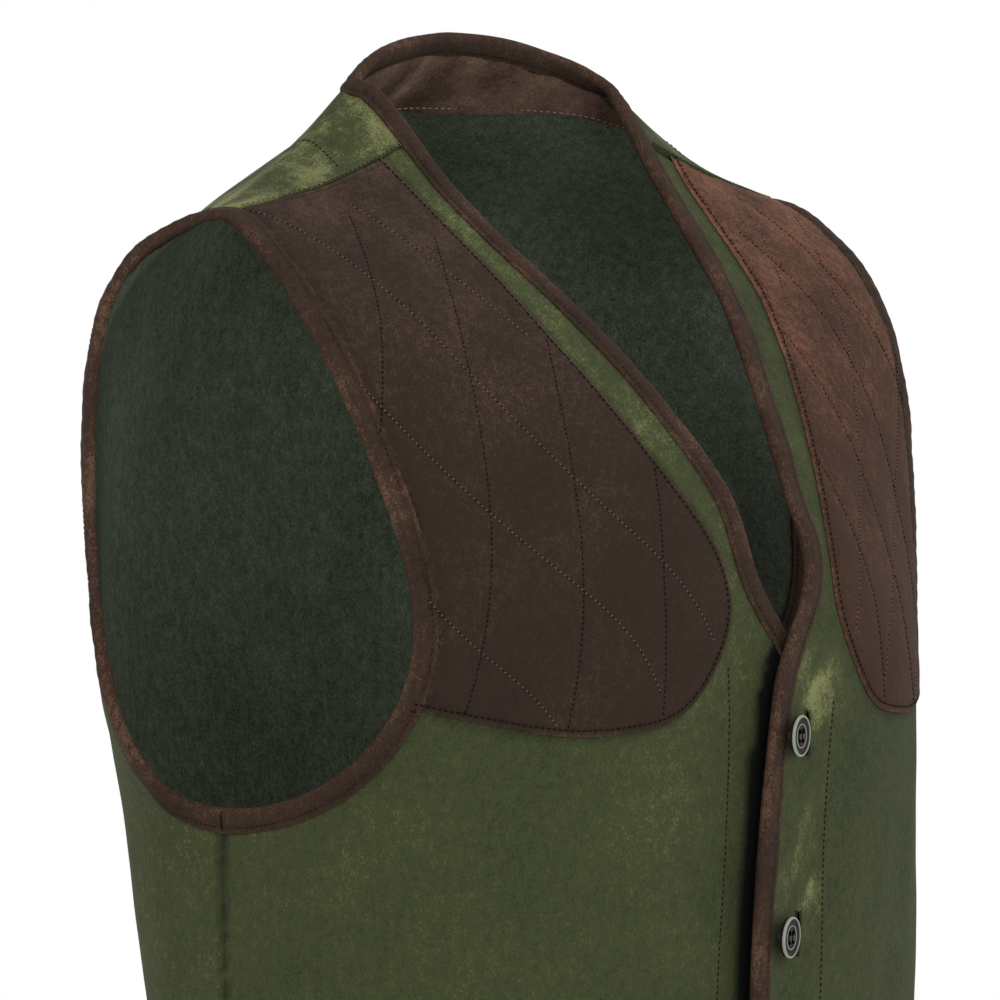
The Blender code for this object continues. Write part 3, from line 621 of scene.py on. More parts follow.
def seam_path():
    """The left shoulder seam from the neckline to the armhole."""
    start = front_edge()[-1]
    end = armhole(-90, SEAM_SWING)[-1]
    neck = inset(front_edge()[::-1][:SEAM_POINTS], BINDING_REACH)[0]
    arm, count = arm_path(EDGE_STEP)
    inner = inset(arm, BINDING_REACH)[count - 1]
    part = np.linspace(0, 1, 200)
    across = neck[0] + (inner[0] - neck[0]) * part
    slip = (neck[1] - SEAM["turn"][0], inner[1] - SEAM["turn"][-1])
    turn = spline(SEAM["part"], SEAM["turn"])(part) + slip[0] * (1 - part) + slip[1] * part
    return np.concatenate([[start], np.stack([across, turn], axis=1), [end]])


# A slight unevenness of the cloth: height, scale and seed of its waves
UNEVEN = ((0.00045, 0.09, 3), (0.00016, 0.035, 4))
FOLD_START = (-0.25, 0.3)
FOLD_END = (0.7, 1.25)

# Soft folds and hollows of the cloth: x, z of each end, front (-1) or back (1), half width and height
FOLDS = table(
    ("x0", "z0", "x1", "z1", "face", "half_width", "height"),
    (
        (-0.150, -0.330, -0.120, -0.520, -1, 0.016, 0.0016),
        (-0.110, -0.290, -0.070, -0.420, -1, 0.014, -0.0012),
        (-0.060, -0.330, -0.035, -0.600, -1, 0.012, 0.0014),
        (0.150, -0.330, 0.125, -0.520, -1, 0.016, 0.0016),
        (0.105, -0.290, 0.075, -0.450, -1, 0.014, -0.0012),
        (-0.170, -0.560, -0.080, -0.640, -1, 0.018, 0.0014),
        (0.170, -0.560, 0.080, -0.640, -1, 0.018, 0.0014),
        (-0.160, -0.330, -0.110, -0.480, 1, 0.018, 0.0020),
        (0.160, -0.330, 0.115, -0.500, 1, 0.018, 0.0020),
        (-0.060, -0.300, -0.020, -0.520, 1, 0.020, -0.0016),
        (0.070, -0.340, 0.030, -0.560, 1, 0.020, -0.0016),
        (-0.150, -0.440, 0.010, -0.500, 1, 0.022, 0.0018),
        (0.150, -0.460, 0.000, -0.520, 1, 0.022, -0.0014),
        (-0.120, -0.120, -0.150, -0.240, 1, 0.018, 0.0016),
        (0.120, -0.120, 0.150, -0.240, 1, 0.018, 0.0016),
    ),
)


def waves(places, scale, seed):
    """A smooth uneven field near -1 to 1: a few slanted waves of unlike lengths."""
    rng = np.random.default_rng(seed)
    total = np.zeros(len(places))
    for _ in range(7):
        way = rng.normal(size=3)
        way *= rng.uniform(0.6, 1.6) / np.linalg.norm(way) / scale
        total += np.sin(places @ way * 2 * math.pi + rng.uniform(0, 2 * math.pi))
    return total / 3


def relief(places, turn):
    """How far the cloth stands off its form: the folds of the table and a slight unevenness."""
    height = sum(rise * waves(places, scale, seed) for rise, scale, seed in UNEVEN)
    face = np.where(turn < 1, -1, 1)
    flat = places[:, [0, 2]]
    for x0, z0, x1, z1, fold_face, half_width, rise in zip(*FOLDS.values()):
        start = np.array([x0, z0])
        run = np.array([x1, z1]) - start
        part = (flat - start) @ run / (run @ run)
        off = np.linalg.norm(flat - start - np.clip(part, 0, 1)[:, None] * run, axis=1)
        fold = fade(off, half_width) * bump(part, FOLD_START, FOLD_END) * (face == fold_face)
        height = height + rise * fold
    return height


def placed(shares, height=0.0, side=None):
    """Points and normals of the worn cloth at a height over its outside; side is left, right or None."""
    across, turn = np.asarray(shares, float).T
    places = form(across, turn)
    normals = facing_out(across, turn)
    lift = relief(places, turn)
    if side is not None:
        lift = lift + lap(across, turn, side == "left")
    return places + normals * (lift + height)[:, None], normals


def linked(name, data):
    """A new object in the scene."""
    thing = bpy.data.objects.new(name, data)
    bpy.context.scene.collection.objects.link(thing)
    return thing


def make(name, vertices, faces, materials, indices=None, slot=None, replaces=(), smooth=60):
    """A mesh object that rides on the vest."""
    mesh = bpy.data.meshes.new(name)
    mesh.from_pydata([tuple(v) for v in vertices], [], [tuple(int(i) for i in f) for f in faces])
    for material in materials:
        mesh.materials.append(material)
    if indices is not None:
        mesh.polygons.foreach_set("material_index", np.asarray(indices, np.int32))
    mesh.shade_smooth()
    mesh.set_sharp_from_angle(angle=math.radians(smooth))
    piece = linked(name, mesh)
    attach(piece, "root")
    if replaces:
        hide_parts(*replaces)
    return piece


def look(piece, **fields):
    """Stores what steers the leather's colour at each point: its nap and painted light, how cloudy it is, and
    its painted shade, as nubuck says.
    """
    for name, values in fields.items():
        layer = piece.data.attributes.new(name, "FLOAT", "POINT")
        layer.data.foreach_set("value", np.asarray(values, np.float32))


def distance_to(places, line):
    """How far each place is from the nearest point of a line's points."""
    nearest = []
    for k in range(0, len(places), AT_ONCE):
        nearest.append(np.linalg.norm(places[k : k + AT_ONCE][:, None] - line, axis=-1).min(axis=1))
    return np.concatenate(nearest)


def on_left(places):
    """The same places, with those on the right mirrored to the left."""
    return np.stack([np.abs(places[:, 0]), places[:, 1], places[:, 2]], axis=1)


def grid_faces(rows, columns, start=0, flip=False):
    """The faces of a grid whose points are numbered row by row."""
    index = start + np.arange(rows * columns).reshape(rows, columns)
    faces = np.stack([index[:-1, :-1], index[:-1, 1:], index[1:, 1:], index[1:, :-1]], axis=-1).reshape(-1, 4)
    return faces[:, ::-1] if flip else faces


def panel(name, outside, within, faces, materials, looks, **more):
    """A cloth wall with the faces of its outside, inside and rim, and the looks of its outside and inside."""
    outer, inner, rim = faces
    kinds = [0] * len(outer) + [1] * len(inner) + [0] * len(rim)
    piece = make(name, np.concatenate([outside, within]), np.concatenate(faces), materials, kinds, **more)
    none = np.zeros(len(within))
    look(piece, **{key: [*values, *looks[1].get(key, none)] for key, values in looks[0].items()})
    return piece


def shell(name, grid, side, materials, side_seam, shoulder_seam, **more):
    """A front's cloth wall over a grid of shares, its outside first, rolled in along its seams."""
    rows, columns = grid.shape[:2]
    count = rows * columns
    shares = grid.reshape(-1, 2)
    base = form(*shares.T)
    seam_gap = distance_to(base, form(*side_seam.T))
    roll = -SEAM_ROLL * fade(seam_gap, SEAM_SOFT)
    roll -= SEAM_ROLL * fade(distance_to(base, form(*shoulder_seam.T)), SEAM_SOFT)
    outside, _ = placed(shares, roll, side)
    within, _ = placed(shares, -WALL, side)
    flip = side == "right"
    rim = rim_faces(rows, columns, count)
    faces = [
        grid_faces(rows, columns, 0, flip),
        grid_faces(rows, columns, count, not flip),
        rim[:, ::-1] if flip else rim,
    ]
    looks = (green_look(outside, shares, seam_gap, side), {})
    return panel(name, outside, within, faces, materials, looks, **more)


def rim_faces(rows, columns, count):
    """The faces round a grid's edge, from its outside to the same grid count points on."""
    index = np.arange(rows * columns).reshape(rows, columns)
    ring = np.concatenate([index[0, :], index[1:, -1], index[-1, -2::-1], index[-2:0:-1, 0]])
    after = np.roll(ring, -1)
    return np.stack([after, ring, ring + count, after + count], axis=1)


def border_faces(faces, count):
    """The faces from a sheet's open edges to the same points count places on."""
    corners = faces.shape[1]
    edges = np.concatenate([faces[:, [i, (i + 1) % corners]] for i in range(corners)])
    known = {tuple(edge) for edge in edges}
    return np.array([(b, a, a + count, b + count) for a, b in edges if (b, a) not in known])


def between(inner, outer, columns, top):
    """A grid of shares between two edges of the same length, its last row bent to follow the line top."""
    part = np.linspace(0, 1, columns)
    grid = inner[:, None] + (outer - inner)[:, None] * part[None, :, None]
    bend = at_distances(top, part * real_length(top)) - grid[-1]
    bend -= (1 - part)[:, None] * bend[0] + part[:, None] * bend[-1]
    share = ease(np.arange(len(inner)) / (len(inner) - 1), BEND_START, 1.0)
    return grid + share[:, None, None] * bend[None]


def front_grid():
    """The left front in shares: rows from the hem up, columns from its front edge to the side."""
    low_turn = UNDERARM - LOW_DROP
    low = equal_steps(straight((1, 0), (1, low_turn)), GRID_STEP)
    arm, count = arm_path(GRID_STEP)
    arm = inset(arm, CUT_BACK)[:count]
    edge_line = inset(front_edge(), -CUT_BACK)
    start = edge_line[:, 1].searchsorted(low_turn)
    low_inner = np.stack([np.interp(low[:, 1], edge_line[:, 1], edge_line[:, 0]), low[:, 1]], axis=1)
    high_inner = equal_steps(edge_line[start:], GRID_STEP, len(arm) + 1)[1:]
    inner = np.concatenate([low_inner, high_inner])
    return between(inner, np.concatenate([low, arm]), FRONT_COLUMNS, seam_path())


def back_grid():
    """Half of the back in shares: rows from the hem up to the seam, columns from the middle to the side."""
    low_turn = 2 - UNDERARM + LOW_DROP
    low = equal_steps(straight((1, 2), (1, low_turn)), GRID_STEP)
    arm, count = arm_path(GRID_STEP)
    arm = inset(arm, CUT_BACK)[count - 1 :][::-1]
    neck, ahead = neck_path(GRID_STEP)
    neck = inset(neck, CUT_BACK)[len(neck) // 2 : len(neck) - ahead + 1]
    neck[0, 0] = 0
    low_inner = np.stack([np.zeros(len(low)), low[:, 1]], axis=1)
    high = np.concatenate([straight((0, low_turn), (0, neck[0, 1])), neck[1:]])
    high_inner = equal_steps(high, GRID_STEP, len(arm) + 1)[1:]
    inner = np.concatenate([low_inner, high_inner])
    return between(inner, np.concatenate([low, arm]), BACK_COLUMNS, inset(seam_path(), -YOKE_LAP))


def binding(name, path, side_of, materials, closed=False, **more):
    """A soft binding folded round a raw edge, a little puckered between its stitches."""
    rings = []
    pucker = PUCKER_RISE * np.sin(real_distances(path) * 2 * math.pi / PUCKER_STEP)
    pucker = pucker + BINDING_UNEVEN * waves(form(*path.T), 0.03, 11)
    for reach, height, soft in SOFT_SECTION:
        shares = inset(path, reach, closed)
        points = np.zeros((len(path), 3))
        for side in set(side_of):
            chosen = np.array([s == side for s in side_of])
            points[chosen] = placed(shares[chosen], (height + pucker * soft)[chosen], side)[0]
        rings.append(points)
    sides = len(rings)
    stations = len(path)
    vertices = np.stack(rings, axis=1).reshape(-1, 3)
    faces = []
    for i in range(stations if closed else stations - 1):
        here = i * sides
        there = (i + 1) % stations * sides
        for k in range(sides):
            after = (k + 1) % sides
            faces.append((here + k, there + k, there + after, here + after))
    if not closed:
        last = (stations - 1) * sides
        faces.append(tuple(range(sides)))
        faces.append(tuple(last + k for k in reversed(range(sides))))
    piece = make(name, vertices, faces, materials, smooth=70, **more)
    reaches = np.tile([reach for reach, _, _ in SOFT_SECTION], stations)
    # Paler along the binding's fold and its edges, with wear and a painted highlight; darker along the stitch
    # row
    wear_and_painted_light = 0.35 * fade(reaches, 0.0022) + 0.25 * fade(reaches - BINDING_WIDTH, 0.001)
    stitched = 0.35 * fade(reaches - BINDING_STITCH, 0.0009)
    look(piece, nap=wear_and_painted_light - stitched + 0.22 * waves(vertices, 0.05, 21))


def stitches(name, lines, material, length=0.0017, gap=0.0007, radius=0.00022, **more):
    """Thread stitches along lines of points with normals: small rounded bars half sunk in the cloth."""
    vertices = []
    faces = []
    for points, normals in lines:
        gone = run_lengths(points)
        starts = np.arange(gap, gone[-1] - length, length + gap)
        ends = (points_at(points, gone, starts), points_at(points, gone, starts + length))
        ups = points_at(normals, gone, starts + length / 2)
        for a, b, up in zip(*ends, ups):
            way = b - a
            way /= np.linalg.norm(way)
            across = np.cross(way, up)
            across /= np.linalg.norm(across)
            first = len(vertices)
            for share, size in THREAD_RINGS:
                middle = a + (b - a) * share
                sink = radius * (1 - size) * THREAD_SINK
                for k in range(THREAD_SIDES):
                    angle = 2 * math.pi * k / THREAD_SIDES
                    out = across * math.cos(angle) + up * math.sin(angle)
                    vertices.append(middle - up * sink + out * radius * size)
            for ring in range(len(THREAD_RINGS) - 1):
                low = first + ring * THREAD_SIDES
                high = low + THREAD_SIDES
                for k in range(THREAD_SIDES):
                    after = (k + 1) % THREAD_SIDES
                    faces.append((low + after, high + after, high + k, low + k))
            faces.append(tuple(first + k for k in range(THREAD_SIDES))[::-1])
            faces.append(tuple(high + k for k in range(THREAD_SIDES)))
    return make(name, vertices, faces, [material], **more)


def patch_outline():
    """The left patch's closed outline in shares: the armhole, the shoulder seam and its own lower edge."""
    arm, count = arm_path(PATCH_FINE)
    guide = inset(arm, BINDING_REACH - PATCH_TUCK)[:count]
    low = smooth_path(PATCH_EDGE, PATCH_FINE)
    corner = np.linalg.norm((guide - low[-1]) * PATTERN, axis=1).argmin()
    seam = equal_steps(seam_path(), PATCH_FINE)
    kept = (seam[:, 0] > low[0][0] + PATCH_CORNER) & (seam[:, 0] < guide[-1][0] - PATCH_CORNER)
    return np.concatenate([guide[corner:], seam[kept][::-1], low[:-1]])


def patch_net(outline):
    """Places in shares and triangles of a fine net inside an outline, all triangles turned the same way."""
    scale = np.array(PATTERN)
    step = PATCH_FINE / PATTERN[0]
    across = np.arange(*PATCH_ACROSS, step)
    dots = []
    for i, turn in enumerate(np.arange(*PATCH_TURNS, PATCH_FINE * ROW_SHARE / PATTERN[1])):
        dots.append(np.stack([across + i % 2 * step / 2, np.full(len(across), turn)], axis=1))
    dots = np.concatenate(dots)
    dots = dots[inside(dots, outline)]
    rim = form(*np.vstack([outline, outline[:1]]).T)
    dots = dots[distance_to(form(*dots.T), rim) > PATCH_FINE * RIM_SHARE]
    chain = [(i, (i + 1) % len(outline)) for i in range(len(outline))]
    flat = np.concatenate([outline, dots]) * scale
    found = delaunay_2d_cdt([Vector(p) for p in flat], chain, [], 1, 1e-7, False)
    shares = np.array([tuple(p) for p in found[0]]) / scale
    faces = np.array([tuple(f) for f in found[2]])
    faces = faces[inside(shares[faces].mean(axis=1), outline)]
    first, second, third = shares[faces].transpose(1, 0, 2)
    wrong = np.cross(second - first, third - first) < 0
    faces[wrong] = faces[wrong][:, ::-1]
    return shares, faces


def patch_mesh(name, side, materials, **more):
    """A recoil patch of thin leather, drawn in along its quilting and turned under at its edge."""
    outline = patch_outline()
    shares, faces = patch_net(outline)
    places = form(*shares.T)
    away = distance_to(places, np.concatenate([form(*line.T) for line in quilt_paths(0.001)]))
    rim = np.vstack([outline, outline[:1]])
    rim_away = distance_to(places, form(*equal_steps(rim, 0.0012).T))
    height = SEAM_GAP + PATCH_WALL
    height = height + PATCH_PUFF * (1 - fade(away, PUFF_SOFT)) * ease(rim_away, *PUFF_EDGE)
    height = height - QUILT_DIP * fade(away, DIP_WIDTH)
    height = height - EDGE_DIP * fade(rim_away - EDGE_STITCH, DIP_WIDTH)
    height = height - (SEAM_GAP + PATCH_WALL * 0.75) * fade(rim_away, 0.0009)
    own = shares * MIRROR if side == "right" else shares
    outside, _ = placed(own, height, side)
    under, _ = placed(own, SEAM_GAP * 0.5, side)
    count = len(shares)
    sides = faces.tolist() + (faces[:, ::-1] + count).tolist() + border_faces(faces, count).tolist()
    if side == "right":
        sides = [s[::-1] for s in sides]
    piece = make(name, np.concatenate([outside, under]), sides, materials, **more)
    # A painted highlight along the patch's turned rim, with wear; darker along its edge stitches; paler
    # towards the top with painted light, more on the left patch
    wear_and_painted_light = 0.45 * fade(rim_away, 0.0016)
    wear_and_painted_light -= 0.3 * fade(rim_away - EDGE_STITCH, 0.0009)
    upper = ease(own[:, 1], 0.60, 0.86) * (0.50 if side == "left" else 0.30)
    nap = wear_and_painted_light + upper + 0.12 * waves(outside, 0.06, 31)
    none = np.zeros(count)
    look(piece, nap=[*nap, *none], cloudy=[*(0.15 * ease(own[:, 1], 0.7, 0.9)), *none])


def colour(hex_code):
    """A linear colour from a screen colour's hex code."""
    parts = [int(hex_code[i : i + 2], 16) / 255 for i in (0, 2, 4)]
    return [p / 12.92 if p <= 0.04045 else ((p + 0.055) / 1.055) ** 2.4 for p in parts]


class Nodes:
    """A short way to add and join shader nodes."""

    def __init__(self, name):
        self.material = bpy.data.materials.new(name)
        self.material.use_nodes = True
        self.tree = self.material.node_tree
        self.shader = self.tree.nodes["Principled BSDF"]

    def add(self, kind, **inputs):
        node = self.tree.nodes.new(kind)
        for key, value in inputs.items():
            self.put(node, key, value)
        return node

    def put(self, node, key, value):
        socket = node.inputs[key.replace("_", " ")] if isinstance(key, str) else node.inputs[key]
        if isinstance(value, bpy.types.NodeSocket):
            self.tree.links.new(value, socket)
        else:
            socket.default_value = value

    def noise(self, where, scale, detail, roughness, distortion=0.0):
        sizes = dict(Scale=scale, Detail=detail, Roughness=roughness, Distortion=distortion)
        return self.add("ShaderNodeTexNoise", Vector=where, **sizes).outputs["Fac"]

    def maths(self, operation, a, b):
        node = self.add("ShaderNodeMath")
        node.operation = operation
        self.put(node, 0, a)
        self.put(node, 1, b)
        return node.outputs[0]

    def spread(self, value, low, high, start=0.0, end=1.0):
        node = self.add("ShaderNodeMapRange", Value=value)
        node.interpolation_type = "SMOOTHSTEP"
        for key, number in (("From Min", low), ("From Max", high), ("To Min", start), ("To Max", end)):
            node.inputs[key].default_value = number
        return node.outputs["Result"]

    def mix(self, share, a, b):
        node = self.add("ShaderNodeMix")
        node.data_type = "RGBA"
        self.put(node, 0, share)
        self.put(node, 6, a)
        self.put(node, 7, b)
        return node.outputs[2]

    def attribute(self, name):
        node = self.add("ShaderNodeAttribute")
        node.attribute_name = name
        return node.outputs["Fac"]

    def stretched(self, scale):
        coordinates = self.add("ShaderNodeTexCoord")
        mapping = self.add("ShaderNodeMapping", Vector=coordinates.outputs["Object"])
        mapping.inputs["Scale"].default_value = scale
        return mapping.outputs[0]


def nubuck(name, dark, middle, pale, mottle=1.0, grain=0.9, sheen=0.03, roughness=0.9, pebble=0.35):
    """Leather with a brushed nap: cloudy light and dark and fine grain, steered by three attributes.

    Nap and painted light make it paler above 0 and darker below, cloudy makes it more mottled, and painted
    shade darkens it towards black.
    """
    n = Nodes(name)
    dark, middle, pale = ((*colour(c), 1) for c in (dark, middle, pale))
    where = n.stretched((1, 1, 0.75))
    cloud = n.noise(where, 9.0, 5.0, 0.62, 0.6)
    patchy = n.noise(where, 34.0, 4.0, 0.6, 0.9)
    streak = n.noise(n.stretched((1.0, 1.0, 0.28)), 60.0, 3.0, 0.6, 0.4)
    speckle = n.noise(where, 260.0, 3.0, 0.6)
    fine = n.noise(where, 1100.0, 2.0, 0.6)
    level = n.maths("ADD", n.spread(cloud, 0.36, 0.66, -0.5, 0.5), n.spread(patchy, 0.34, 0.68, -0.42, 0.42))
    level = n.maths("ADD", level, n.spread(streak, 0.32, 0.7, -0.1, 0.1))
    level = n.maths("MULTIPLY", level, n.maths("ADD", n.attribute("cloudy"), mottle))
    level = n.maths("ADD", level, n.spread(speckle, 0.3, 0.7, -grain * 0.25, grain * 0.25))
    level = n.maths("ADD", level, n.spread(fine, 0.25, 0.75, -grain * 0.5, grain * 0.5))
    # Nap and painted light: paler above 0, darker below
    level = n.maths("ADD", level, n.attribute("nap"))
    shade = n.mix(n.spread(level, -1.0, 0.0), dark, middle)
    tone = n.mix(n.spread(level, 0.0, 1.3), shade, pale)
    # Painted shade mixes the colour towards near black
    tone = n.mix(n.attribute("painted_shade"), tone, (0.004, 0.005, 0.004, 1))
    n.put(n.shader, "Base Color", tone)
    n.put(n.shader, "Roughness", roughness)
    n.put(n.shader, "Specular IOR Level", 0.15)
    n.put(n.shader, "Sheen Weight", sheen)
    n.put(n.shader, "Sheen Roughness", 0.6)
    n.put(n.shader, "Sheen Tint", pale)
    skin = n.noise(where, 300.0, 4.0, 0.65)
    surface = n.add("ShaderNodeBump", Strength=pebble, Distance=0.0006, Height=n.maths("ADD", skin, fine))
    n.put(n.shader, "Normal", surface.outputs[0])
    return n.material


def plain(name, hex_code, roughness, specular=0.5, sheen=0.0):
    n = Nodes(name)
    n.put(n.shader, "Base Color", (*colour(hex_code), 1))
    n.put(n.shader, "Roughness", roughness)
    n.put(n.shader, "Specular IOR Level", specular)
    n.put(n.shader, "Sheen Weight", sheen)
    return n.material


def green_look(places, shares, seam_gap, side):
    """The green leather's nap and painted light, clouds and painted shade at each point.

    The yoke is pale and cloudy, the strip beside the neck is paler, the spots round the buttonholes are
    rubbed, and a painted sheen stripe runs down the left front. Painted shade darkens the seams, a painted
    shadow lines the patches' lower edges, and a painted shadow lies on the right front under the lapped edge.
    """
    across, turn = shares.T
    x, y, z = places.T
    in_front = y < FRONT_DEPTH
    yoke = bump(turn, YOKE_START, YOKE_END)
    strip = ease(turn, *STRIP_START) * (1 - ease(np.abs(across), *STRIP_SIDE)) * (turn < STRIP_TOP)
    spots = np.zeros(len(places))
    for reach, height, wide, tall, strength in RUBBED_SPOTS:
        spots += strength * np.exp(-(((x - reach) / wide) ** 2) - ((z - height) / tall) ** 2) * in_front
    shoulder = ease(np.abs(across), *SHOULDER_SIDE)
    nap = yoke * (0.12 + 0.90 * shoulder + 0.42 * waves(places, 0.026, 43))
    nap += 0.24 * strip - 0.06 + 0.13 * waves(places, 0.16, 41) + 0.09 * waves(places, 0.05, 45)
    if side == "left":
        nap = nap - 0.26 + spots * (0.8 + 0.5 * waves(places, 0.018, 44))
        # A painted sheen stripe down the left front near its edge
        nap = nap + 0.30 * fade(x - SLOT_SHEEN, 0.0025) * in_front
    cloudy = 0.85 * yoke + 0.20 * strip + 0.25 * np.clip(spots, 0, 1)
    # Painted shade along the seams
    painted_shade = 0.75 * fade(seam_gap, 0.0011)
    # A painted shadow along the patches' lower edges
    patch_rim = form(*smooth_path(PATCH_EDGE, 0.001).T)
    painted_shade = painted_shade + 0.5 * fade(distance_to(on_left(places), patch_rim), 0.0022) * (turn < 0.9)
    # A painted shadow on the right front beside and under the lapped edge
    if side == "right":
        painted_shade = painted_shade + ease(x - EDGE_AT(turn), *UNDER_LAP) * (1 - ease(turn, *LAP_SHADE_TURNS))
    return dict(nap=nap, cloudy=cloudy, painted_shade=np.clip(painted_shade, 0, 1))


def placket_frame(turn, reach):
    """The place and the turn of a thing on the left front's outside at a reach from the centre line."""
    across = share_of(np.array(reach), np.array(turn))
    place, normal = placed(np.array([[across, turn]]), 0.0, "left")
    outward = Vector(normal[0])
    sideways = Vector((0, 0, 1)).cross(outward).normalized()
    upward = outward.cross(sideways)
    axes = Matrix((sideways, upward, outward)).transposed().to_4x4()
    return Matrix.Translation(Vector(place[0])) @ axes


def turned(name, profile, frame, material, sides=64, **more):
    """A turned solid from a profile of radius and height, closed at both ends."""
    vertices = []
    for radius, height in profile:
        for k in range(sides):
            angle = 2 * math.pi * k / sides
            vertices.append(frame @ Vector((radius * math.cos(angle), radius * math.sin(angle), height)))
    faces = []
    for ring in range(len(profile) - 1):
        for k in range(sides):
            low = ring * sides
            after = (k + 1) % sides
            faces.append((low + k, low + after, low + sides + after, low + sides + k))
    faces.append(tuple(range(sides))[::-1])
    last = (len(profile) - 1) * sides
    faces.append(tuple(last + k for k in range(sides)))
    return make(name, vertices, faces, [material], smooth=40, **more)


def button(number, frame, horn, rim, thread, dark):
    """A four-hole button: dark body and face, a thin pale rim, near-black discs of painted shade in its
    holes, and thread through the holes and under it.
    """
    resin = dict(slot="button_resin")
    turned(f"button_{number}", BUTTON_BODY, frame, horn, replaces=[f"button_{number}"], **resin)
    turned(f"button_rim_{number}", BUTTON_RIM, frame, rim, **resin)
    turned(f"button_face_{number}", BUTTON_FACE, frame, horn, **resin)
    turned(f"button_ring_{number}", BUTTON_RING, frame, rim, **resin)
    # Each hole is a near-black disc of painted shade
    for k in range(4):
        angle = math.pi / 4 + k * math.pi / 2
        spot = (HOLE_CIRCLE * math.cos(angle), HOLE_CIRCLE * math.sin(angle), FACE_HEIGHT)
        hole_frame = frame @ Matrix.Translation(spot)
        turned(f"button_hole_{number}_{k}", BUTTON_HOLE, hole_frame, dark, sides=16, **resin)
    up = np.array([tuple((frame.to_3x3() @ Vector((0, 0, 1))).normalized())] * 2)
    lines = []
    for x in (-THREAD_REACH, THREAD_REACH):
        ends = [frame @ Vector((x, y, THREAD_HEIGHT)) for y in (-THREAD_REACH, THREAD_REACH)]
        lines.append((np.array([tuple(end) for end in ends]), up))
    stitches(f"button_thread_{number}", lines, thread, length=0.0028, gap=0.00005, radius=0.0004, **resin)
    turned(f"button_stem_{number}", BUTTON_STEM, frame, thread, sides=16, **resin)


def main():
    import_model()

    matt = dict(sheen=0.0, pebble=0.6)
    green = nubuck("green_nubuck", "2a301e", "3c4228", "74764e", mottle=0.14, grain=0.8, **matt)
    flesh = dict(mottle=0.3, grain=1.5, sheen=0.0, roughness=0.95)
    green_in = nubuck("green_flesh_side", "38402f", "515a4a", "6b7566", **flesh)
    brown = nubuck("brown_nubuck", "1f1711", "2e231b", "5c463a", mottle=0.10, grain=0.6, pebble=0.6)
    # A paler copy of the brown nubuck for the left patch, standing in for the key light on it: painted light
    wear_and_painted_light = nubuck("brown_nubuck_worn", "231610", "3a271d", "7d5441", mottle=0.14, grain=0.6, **matt)
    trim = nubuck("brown_binding", "221812", "35271e", "634a3b", mottle=0.12)
    suede = nubuck("brown_suede", "3c2d24", "5a473b", "8f7466", mottle=0.7)
    # Near-black thread, its darkness also standing for the painted shade of the stitch holes
    dark_thread_and_hole_shade = plain("dark_thread_and_hole_shade", "120b08", 0.8, 0.1)
    thread_brown = plain("thread_brown", "5f463c", 0.7)
    thread_tan = plain("thread_tan", "8a6f5c", 0.6)
    horn = plain("horn", "1e1a1c", 0.6, 0.12)
    rim = plain("horn_rim", "8b9082", 0.5, 0.2)
    # Near black: painted shade in the buttonholes and in the buttons' holes
    hole_shade = plain("button_hole_painted_shade", "060505", 0.9, 0.0)

    front = front_grid()
    cloth = [green, green_in]
    side_seam = straight((1, 0), (1, UNDERARM))
    seam = seam_path()
    left = shell("front_left_cloth", front, "left", cloth, side_seam, seam,
                 slot="green_nubuck", replaces=["front_left"])
    right = shell("front_right_cloth", front * MIRROR, "right", cloth, side_seam * MIRROR, seam * MIRROR,
                  slot="green_nubuck", replaces=["front_right"])
    back_side = straight((1, 2 - UNDERARM), (1, 2))
    whole = back_shell(back_grid(), cloth, back_side, inset(seam, -YOKE_LAP))

    patch_mesh("patch_left_cloth", "left", [wear_and_painted_light], slot="brown_nubuck", replaces=["patch_left"])
    patch_mesh("patch_right_cloth", "right", [brown], slot="brown_nubuck", replaces=["patch_right"])

    arm = arm_path(BINDING_STEP)[0][:-1]
    right_arm = mirrored(arm)
    binding("armhole_binding_left_cloth", arm, [None] * len(arm), [trim], closed=True,
            slot="brown_binding", replaces=["armhole_binding_left"])
    binding("armhole_binding_right_cloth", right_arm, [None] * len(arm), [trim], closed=True,
            slot="brown_binding", replaces=["armhole_binding_right"])
    neck, _ = neck_path(BINDING_STEP)
    middle = len(neck) // 2
    neck_sides = ["right"] * middle + ["left"] * (len(neck) - middle)
    binding("neck_binding_cloth", neck, neck_sides, [trim], slot="brown_binding", replaces=["neck_binding"])

    facing(suede, thread_tan)
    binding_stitches(arm, right_arm, neck, dark_thread_and_hole_shade)
    patch_stitches(dark_thread_and_hole_shade, thread_brown)
    panel_stitches(dark_thread_and_hole_shade)

    lift = Matrix.Translation((0, 0, BUTTON_STANDOFF + BUTTON_RADIUS * math.sin(BUTTON_YAW)))
    for number, turn in enumerate(BUTTON_TURNS, start=1):
        frame = placket_frame(turn, BUTTON_REACH) @ lift @ Matrix.Rotation(BUTTON_YAW, 4, "Y")
        button(number, frame, horn, rim, thread_brown, hole_shade)
        buttonhole(number, turn, dark_thread_and_hole_shade, hole_shade)

    camera()
    floor()
    daylight()


